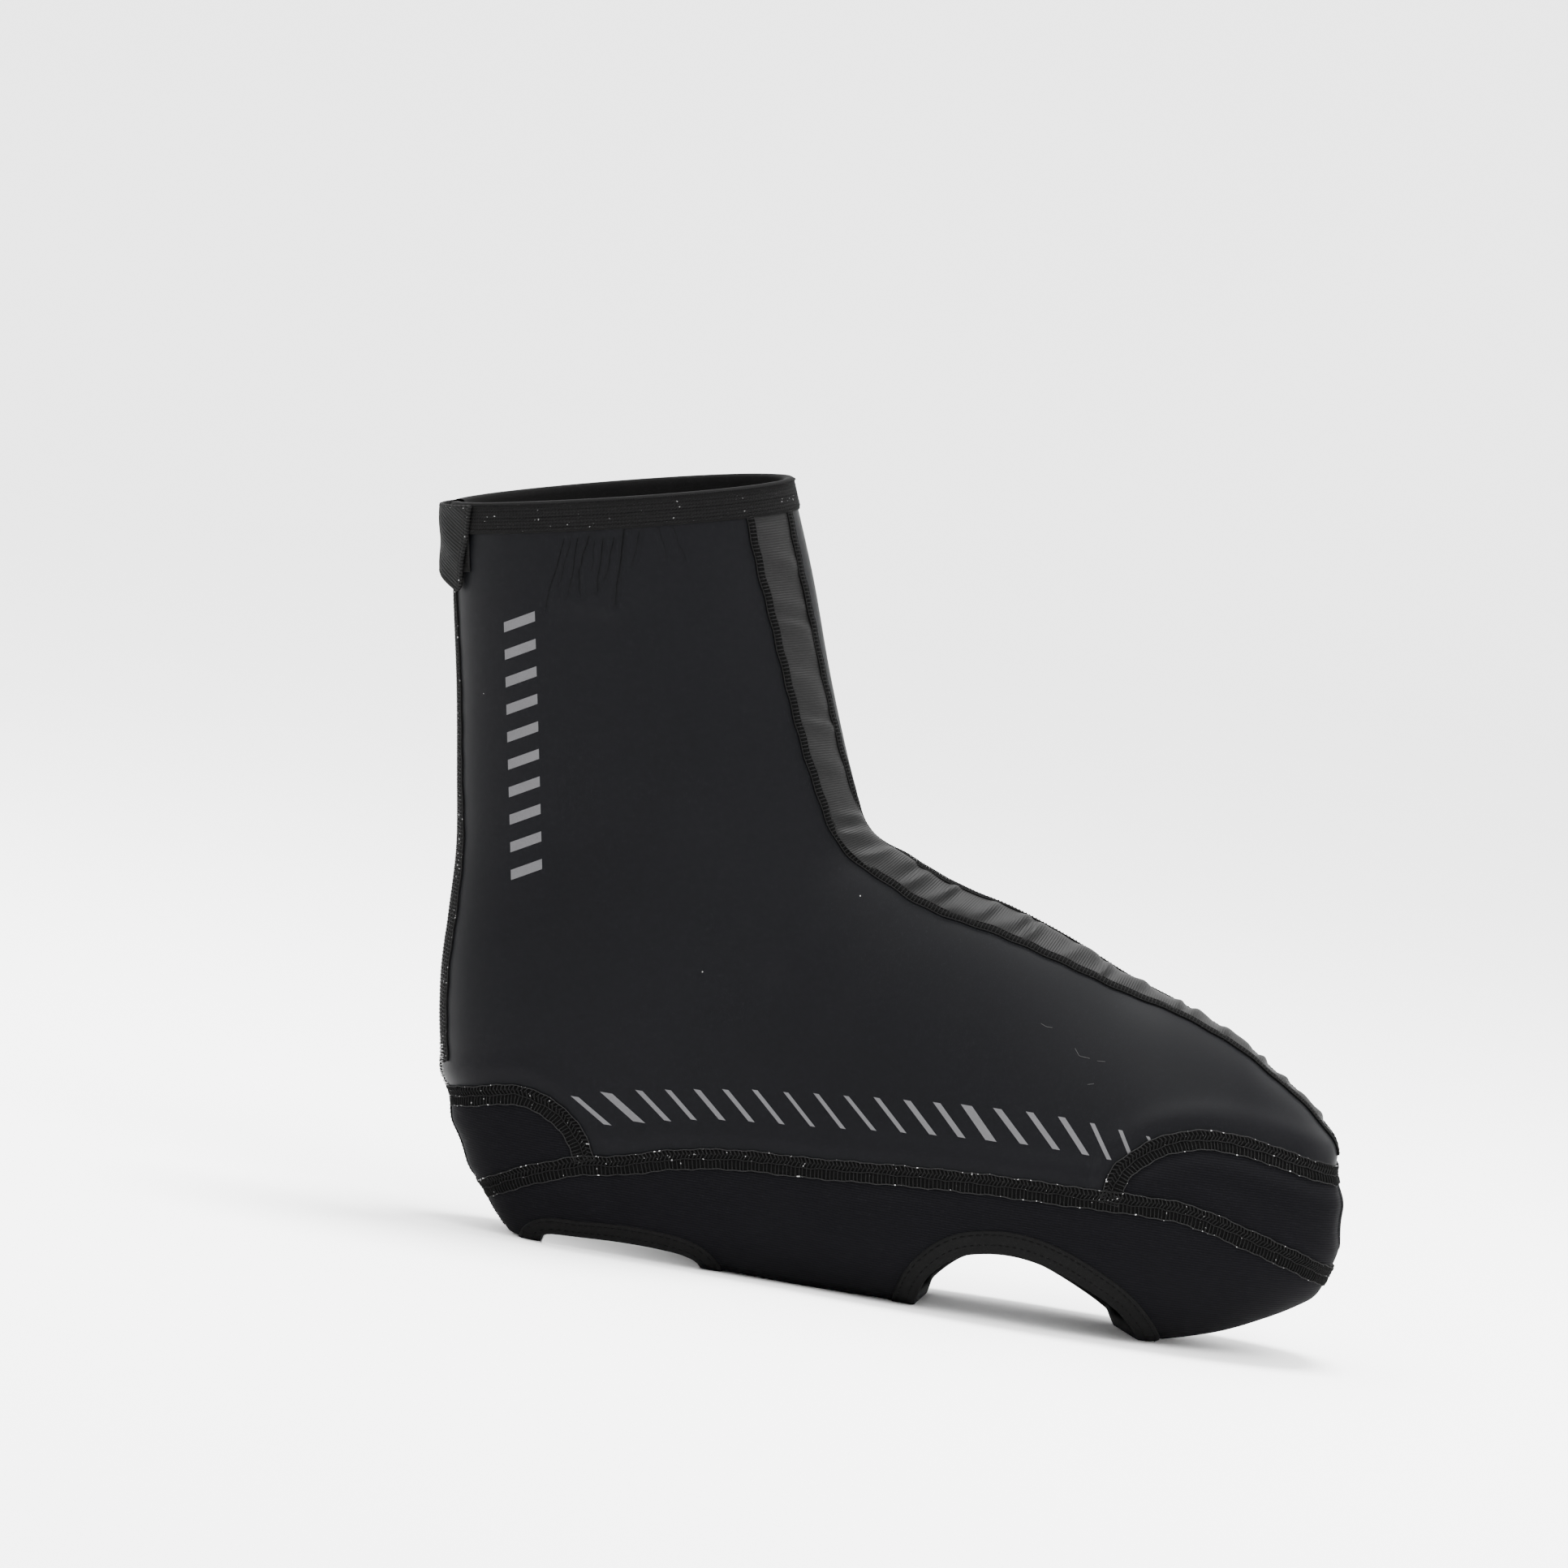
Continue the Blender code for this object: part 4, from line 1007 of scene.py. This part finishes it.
def rimSpread(count):
    # shares from 0 to 1, close together towards both ends
    even = np.linspace(0, 1, count)
    return 0.35 * even + 0.65 * (1 - np.cos(np.pi * even)) / 2


rear = {"tooth": 1.25 * mm, "toothThread": 0.46 * mm, "toothReach": 1.9 * mm, "toothTurn": 0.55 * mm,
        "tapeDepth": 1.1 * mm, "tapeHalf": 0.5 * mm, "tapeGap": 0.2 * mm, "trackHalf": 5.0 * mm,
        "cordStep": 0.6 * mm, "cord": 0.42 * mm, "cordGap": 0.15 * mm,
        "edgeHalf": 1.75, "seamHalf": 1.6, "seamEnd": 10.6,
        "tacks": 13, "tackFrom": 0.35, "tackTo": 0.55, "tackHalf": 4.2, "tackThread": 0.11 * mm}


def zipPieces():
    # a sunken tape, and teeth that hook into each other from either side over a cord
    places = evenPlaces(1.2 * mm, dropPlace(rear["tapeGap"]), cover["zipEnd"])
    half = cover["zipOpening"] / 2 - rear["tapeGap"]
    zipReach = zipMiddle(places)[:, None]
    points, normals = coverAt(places, zipReach + half * (2 * rimSpread(12) - 1))
    part = slab(points - normals * rear["tapeDepth"], normals, rear["tapeHalf"])
    addPiece("zipTape", [part], ["zipTape"], "zip_tape")

    track = makeTrack(pathAt(places, zipReach), rear["trackHalf"])
    start = np.arange(int(track["length"] / rear["tooth"]))[:, None]
    step = np.linspace(0, 1, 7)[None]
    run = np.arange(int(track["length"] / rear["cordStep"]))[None] * rear["cordStep"]
    parts = []
    for side, shift in ((-1, 0.0), (1, 0.5)):
        across = side * (rear["toothReach"] - step * (rear["toothReach"] + rear["toothTurn"]))
        rise = (-0.45 + 0.75 * np.sin(np.pi * np.minimum(step * 0.75 + 0.12, 1))) * mm
        thick = rear["toothThread"] * (0.8 + 0.45 * smoothStep(0.6, 0.9, step))
        parts.append(threads(track, (start + shift) * rear["tooth"], across, rise, thick, 0, 6))
        across = side * (rear["toothReach"] + rear["cordGap"])
        lift = (-0.35 + 0.12 * np.abs(np.sin(np.pi * run / rear["tooth"]))) * mm
        parts.append(threads(track, run, across, lift, rear["cord"], 0, 6))
    addPiece("zipCoil", parts, ["zipCoil"], "zip_coil")


def zipEdge(name, side, node):
    # a knitted band beside the zip: two rows of stitches and pale ends of yarn
    places = evenPlaces(1.0 * mm, dropPlace(cover["collarBindingHeight"] * 1.02), cover["zipEnd"])
    away = side * (cover["zipOpening"] + cover["zipEdgeWidth"]) / 2
    narrowSeam(name, pathAt(places, zipMiddle(places)[:, None] + away), node, side, rear["edgeHalf"],
               ("bindingTape", "paleThread"))


def backDetails():
    # the seam down the middle of the heel, and pale tacking threads where the zip ends
    end = cover["zipEnd"]
    places = evenPlaces(1.0 * mm, end - 0.1, rear["seamEnd"])
    narrowSeam("heelBackSeam", pathAt(places, np.zeros((len(places), 1))), None, half=rear["seamHalf"],
               finishes=("seamGround", "paleThread"))
    middle = float(zipMiddle(np.array([end]))[0])
    line = pathAt(np.linspace(end - rear["tackFrom"], end + rear["tackTo"], 24), np.full((24, 1), middle))
    track = makeTrack(line, 6.5 * mm)
    along = np.linspace(1 * mm, track["length"] - 1 * mm, rear["tacks"])[:, None]
    step = np.linspace(-1, 1, 9)[None]
    parts = []
    for lean in (0.5, -0.5):
        run = along + step * lean * mm + rng.normal(0, 0.2 * mm, along.shape)
        over = step * (rear["tackHalf"] + rng.normal(0, 0.5, along.shape)) * mm
        parts.append(threads(track, run, over, (0.35 + 0.55 * (1 - step ** 2)) * mm, rear["tackThread"]))
    addPiece("zipEndThreads", parts, ["whiteThread"])


# The strap round the back of the collar; its foot, at shares of its outer reach, runs up to the front
closure = {"rows": 40, "columns": 90, "outerReach": 22.5 * mm, "innerReach": 26.0 * mm, "bow": 2.4 * mm,
           "taper": 0.35, "wall": 1.4 * mm, "gap": 0.2 * mm, "footShares": (-1.0, -0.85, -0.1, 0.3),
           "foot": (0.0270, 0.0285, 0.0225, 0.0235), "stitchColumns": (3, 8, 81, 86), "stitchRows": (3, 36),
           "stitch": 1.6 * mm, "stitchStep": 0.4 * mm, "thread": 0.15 * mm}


def strapPoints(drops, reach):
    # points and normals where each spot has its own drop below the edge; read between even drops
    levels = np.linspace(0, drops.max(), 60)
    grid = np.zeros((2,) + drops.shape + (3,))
    for column in range(reach.shape[1]):
        across = np.interp(levels, drops[:, column], reach[:, column])
        near = across[:, None] + np.array([[-0.5, 0, 0.5]]) * mm
        for kind, values in enumerate(coverAt(dropPlace(levels), near)):
            for axis in range(3):
                grid[kind, :, column, axis] = np.interp(drops[:, column], levels, values[:, 1, axis])
    return grid


def closureStrap():
    down = rimSpread(closure["rows"])[:, None]
    outer, inner = closure["outerReach"] * (1 - closure["taper"] * down), closure["innerReach"]
    reach = -outer + (outer + inner) * rimSpread(closure["columns"])
    drops = closure["gap"] + down * np.interp(reach / outer, closure["footShares"], closure["foot"])
    points, normals = strapPoints(drops, reach)
    back = 1 - np.where(reach < 0, -reach / outer, reach / inner)
    lift = cover["bindingWall"] + closure["gap"] + closure["wall"] / 2
    lift = lift + closure["bow"] * np.sin(np.pi / 2 * back) ** 2
    lift = lift + 0.25 * mm * np.sin(down * 9.0 + reach * 260.0)
    middle = points + normals * lift[..., None]
    part = slab(middle, normals, closure["wall"] / 2, 3.0)
    way = np.stack([np.stack([reach, drops, 0 * reach], -1)] * 2)
    addPiece("closureStrap", [part], ["strapTwill"], "closure_strap", way)

    # stitched lines along both ends, the top and the foot
    surface = middle + normals * closure["wall"] / 2
    lines = [surface[2:-2, column] for column in closure["stitchColumns"]]
    lines += [surface[row, 3:-3] for row in closure["stitchRows"]]
    paths = []
    for line in lines:
        dense = resampled(line, closure["stitchStep"])
        pitch = closure["stitch"] / closure["stitchStep"]
        for number in range(int(len(dense) / pitch)):
            stitch = dense[int(number * pitch):][:4]
            if len(stitch) == 4:
                paths.append(stitch)
    ups = unit(np.array(paths) - surface.reshape(-1, 3).mean(0))
    addPiece("strapStitches", [tubes(np.array(paths), ups, closure["thread"])], ["paleThread"])


hook = {"width": 10.0 * mm, "height": 12.0 * mm, "gap": 0.3 * mm, "rows": 24, "columns": 22,
        "middle": 0.35 * mm, "half": 0.42 * mm, "loop": 0.32 * mm, "thread": 0.09 * mm}


def hookPatch():
    # a soft plate set with small hooks
    drops = cover["collarBindingHeight"] + hook["gap"] + rimSpread(hook["rows"]) * hook["height"]
    near = cover["zipOpening"] / 2 + cover["zipEdgeWidth"]
    reach = -near - rimSpread(hook["columns"])[::-1] * hook["width"]
    points, normals = coverAt(dropPlace(drops), reach + 0 * drops[:, None])
    middle = points + normals * hook["middle"]
    picks = (middle + normals * 0.4 * mm)[1:-1, 1:-1].reshape(-1, 1, 3)
    ups = normals[1:-1, 1:-1].reshape(-1, 1, 3)
    turn = np.linspace(0, np.pi, 5)[:, None]
    sideways = np.cross(ups, [0, 0, 1.0])
    loops = picks + (sideways * np.cos(turn) + ups * np.sin(turn) * 1.5) * hook["loop"]
    hooks = tubes(loops, np.zeros(loops.shape) + [0, 0, 1.0], hook["thread"])
    addPiece("hookPatch", [slab(middle, normals, hook["half"], 3.0), hooks], ["hookPatch"], "hook_patch")


# Prints on the coated panel's outer side. Each bar: middle of its top and of its foot, width in mm
footBars = ((0.1656, 0.3386, 0.2053, 0.2890, 2.6), (0.1980, 0.3577, 0.2380, 0.3059, 4.1),
            (0.2319, 0.3744, 0.2678, 0.3190, 2.4), (0.2624, 0.3859, 0.2950, 0.3306, 2.1),
            (0.2928, 0.3969, 0.3249, 0.3404, 2.3), (0.3226, 0.4070, 0.3560, 0.3475, 2.1),
            (0.3537, 0.4167, 0.3883, 0.3540, 1.9), (0.3868, 0.4231, 0.4211, 0.3603, 1.7),
            (0.4188, 0.4316, 0.4534, 0.3674, 1.8), (0.4508, 0.4380, 0.4859, 0.3755, 1.8),
            (0.4830, 0.4459, 0.5175, 0.3820, 2.0), (0.5154, 0.4518, 0.5487, 0.3884, 2.5),
            (0.5469, 0.4580, 0.5794, 0.3934, 2.5), (0.5786, 0.4637, 0.6106, 0.3971, 3.7),
            (0.6115, 0.4679, 0.6458, 0.4021, 2.8), (0.6459, 0.4721, 0.6804, 0.4028, 2.5),
            (0.6803, 0.4730, 0.7122, 0.4021, 2.4), (0.7135, 0.4709, 0.7375, 0.3999, 1.6),
            (0.7442, 0.4666, 0.7588, 0.4170, 1.4), (0.7738, 0.4626, 0.7796, 0.4482, 1.1))
shaftBars = {"top": (0.0216, 1.510), "foot": (0.0773, 0.778), "count": 10, "half": 5.2 * mm,
             "slant": 1.8 * mm, "thick": 1.65 * mm}
scuffs = (((0.6428, 0.6623), (0.6493, 0.6573), (0.6555, 0.6576)), ((0.6830, 0.6217), (0.6886, 0.6074),
          (0.7001, 0.6059)), ((0.7083, 0.6032), (0.7170, 0.6044)), ((0.7020, 0.5504), (0.7087, 0.5545)))
printLift = 0.10 * mm


def printed(corners, rows, across):
    # a four-cornered print seen from the outer side, laid on the skin
    corners = np.array(corners)
    down, over = np.linspace(0, 1, rows)[:, None, None], np.linspace(0, 1, across)[:, None]
    top = corners[0] * (1 - over) + corners[1] * over
    foot = corners[3] * (1 - over) + corners[2] * over
    spots = top * (1 - down) + foot * down
    made = np.zeros(spots.shape[:2] + (3,))
    for row, column in np.ndindex(made.shape[:2]):
        hit, normal = castAcross(*spots[row, column])
        made[row, column] = hit + normal * (printLift if normal.y < 0 else -printLift)
    return gridPart(made)


def laidThread(line, up, radius, sides):
    path = np.array([[castAcross(x, z)[0][:] for x, z in line]])
    return tubes(path, np.zeros(path.shape) + up, radius, sides)


def footStripe():
    parts = []
    for x0, level0, x1, level1, width in footBars:
        top, foot = sidePlaces(((x0, level0), (x1, level1)))
        half = np.array([width / 2 * mm, 0])
        parts.append(printed((top - half, top + half, foot + half, foot - half), 12, 6))
    addPiece("footBars", parts, ["reflectivePrint"], solid=False)


def shaftColumn():
    parts = []
    top, foot = sidePlaces((shaftBars["top"], shaftBars["foot"]))
    run = (foot - top) / np.linalg.norm(foot - top)
    side = np.array([-run[1], run[0]]) * shaftBars["half"]
    slant, thick = run * shaftBars["slant"], run * shaftBars["thick"]
    for number in range(shaftBars["count"]):
        middle = top + (foot - top) * (number + 0.5) / shaftBars["count"]
        corners = (middle - side - thick + slant, middle + side - thick - slant,
                   middle + side + thick - slant, middle - side + thick + slant)
        parts.append(printed(corners, 6, 14))
    addPiece("shaftBars", parts, ["reflectivePrint"], solid=False)


def lint():
    parts = [laidThread(resampled(sidePlaces(scuff), 0.6 * mm), [0.0, -0.7, 0.7], 0.13 * mm, 4)
             for scuff in scuffs]
    addPiece("scuffs", parts, ["dust"])


def puckerShadeLines():
    # dark lines of painted shade laid in the bottoms of the narrow folds under the collar, thinning out to
    # either end
    parts = []
    for x0, level0, x1, level1, width, depth, side in creases:
        if width < foldWidth and depth > 0 and side:
            line = resampled(sidePlaces(((x0, level0), (x1, level1))), 0.5 * mm)
            share = np.linspace(0, 1, len(line))
            line[:, 0] += 0.35 * mm * np.sin(share * 9 + x0 * 300) * share
            thick = 0.04 + 0.14 * depth * (1 - share) * np.minimum(share * 8 + 0.4, 1)
            parts.append(laidThread(line, [0.0, -1.0, 0.0], np.minimum(thick, 0.16) * mm, 5))
    addPiece("puckerShadeLines", parts, ["seamGround"])


zipPieces()
zipEdge("zipEdgeOuter", -1, "zip_edge_outer")
zipEdge("zipEdgeInner", 1, "zip_edge_inner")
backDetails()
hookPatch()
closureStrap()
footStripe()
shaftColumn()
lint()
puckerShadeLines()

# Stage: a pale floor, soft studio light and the camera at the photo's angle
photo = {"size": 1932, "scale": 0.2652 * mm, "roll": 9.47, "rise": 3.33, "turn": 1.30, "distance": 3.0,
         "sensor": 36.0, "middle": (-0.0389, -0.020, 0.1615)}
stage = {"flat": 5.0, "bend": 2.5, "steps": 14, "turns": 96, "inner": 0.02}
lights = {"world": 3.9, "aim": (0.0, 0.0, 0.1),
          "keyLight": ((0.9, -1.4, 1.7), 1.2, 50), "topLight": ((0.1, 0.2, 1.9), 0.7, 120)}


def placed(name, data, matrix):
    item = bpy.data.objects.new(name, data)
    item.matrix_world = matrix
    bpy.context.scene.collection.objects.link(item)
    return item


def makeCamera():
    roll, rise = math.radians(photo["roll"]), math.radians(photo["rise"])
    up = Vector((-math.sin(roll), 0, math.cos(roll)))
    look = Vector((0, 1, 0)) * math.cos(rise) - up * math.sin(rise)
    look = Matrix.Rotation(math.radians(photo["turn"]), 3, up) @ look
    right = look.cross(up).normalized()
    turned = Matrix((right, right.cross(look).normalized(), -look)).transposed().to_4x4()
    data = bpy.data.cameras.new("camera")
    data.sensor_width = photo["sensor"]
    data.lens = photo["sensor"] * photo["distance"] / (photo["size"] * photo["scale"])
    data.clip_start, data.clip_end = 0.05, 20.0
    eye = Vector(photo["middle"]) - look * photo["distance"]
    bpy.context.scene.camera = placed("camera", data, Matrix.Translation(eye) @ turned)


def makeFloor():
    # a round floor that curves up far behind, so no edge of it shows
    flat, bend, steps = stage["flat"], stage["bend"], stage["steps"]
    rise = np.linspace(0, math.pi / 2, steps + 1)
    radius = np.concatenate([[stage["inner"]], flat + bend * np.sin(rise)])[:, None]
    height = np.concatenate([[0], bend * (1 - np.cos(rise))])[:, None]
    angle = np.linspace(0, 2 * math.pi, stage["turns"] + 1)
    points = np.stack([radius * np.cos(angle), radius * np.sin(angle), height + 0 * angle], -1)
    points[0] = 0
    faces = gridFaces(*points.shape[:2])[:, ::-1]
    makeMesh("floor", [(points, faces, 0)], ["paleFloor"], solid=False)


def makeLight():
    world = bpy.data.worlds.new("studio")
    world.use_nodes = True
    world.node_tree.nodes["Background"].inputs["Color"].default_value = (1, 1, 1, 1)
    world.node_tree.nodes["Background"].inputs["Strength"].default_value = lights["world"]
    bpy.context.scene.world = world
    for name in ("keyLight", "topLight"):
        spot, size, power = lights[name]
        data = bpy.data.lights.new(name, "AREA")
        data.shape, data.size, data.energy = "DISK", size, power
        aim = (Vector(lights["aim"]) - Vector(spot)).to_track_quat("-Z", "Y").to_matrix().to_4x4()
        placed(name, data, Matrix.Translation(Vector(spot)) @ aim)


makeCamera()
makeFloor()
makeLight()
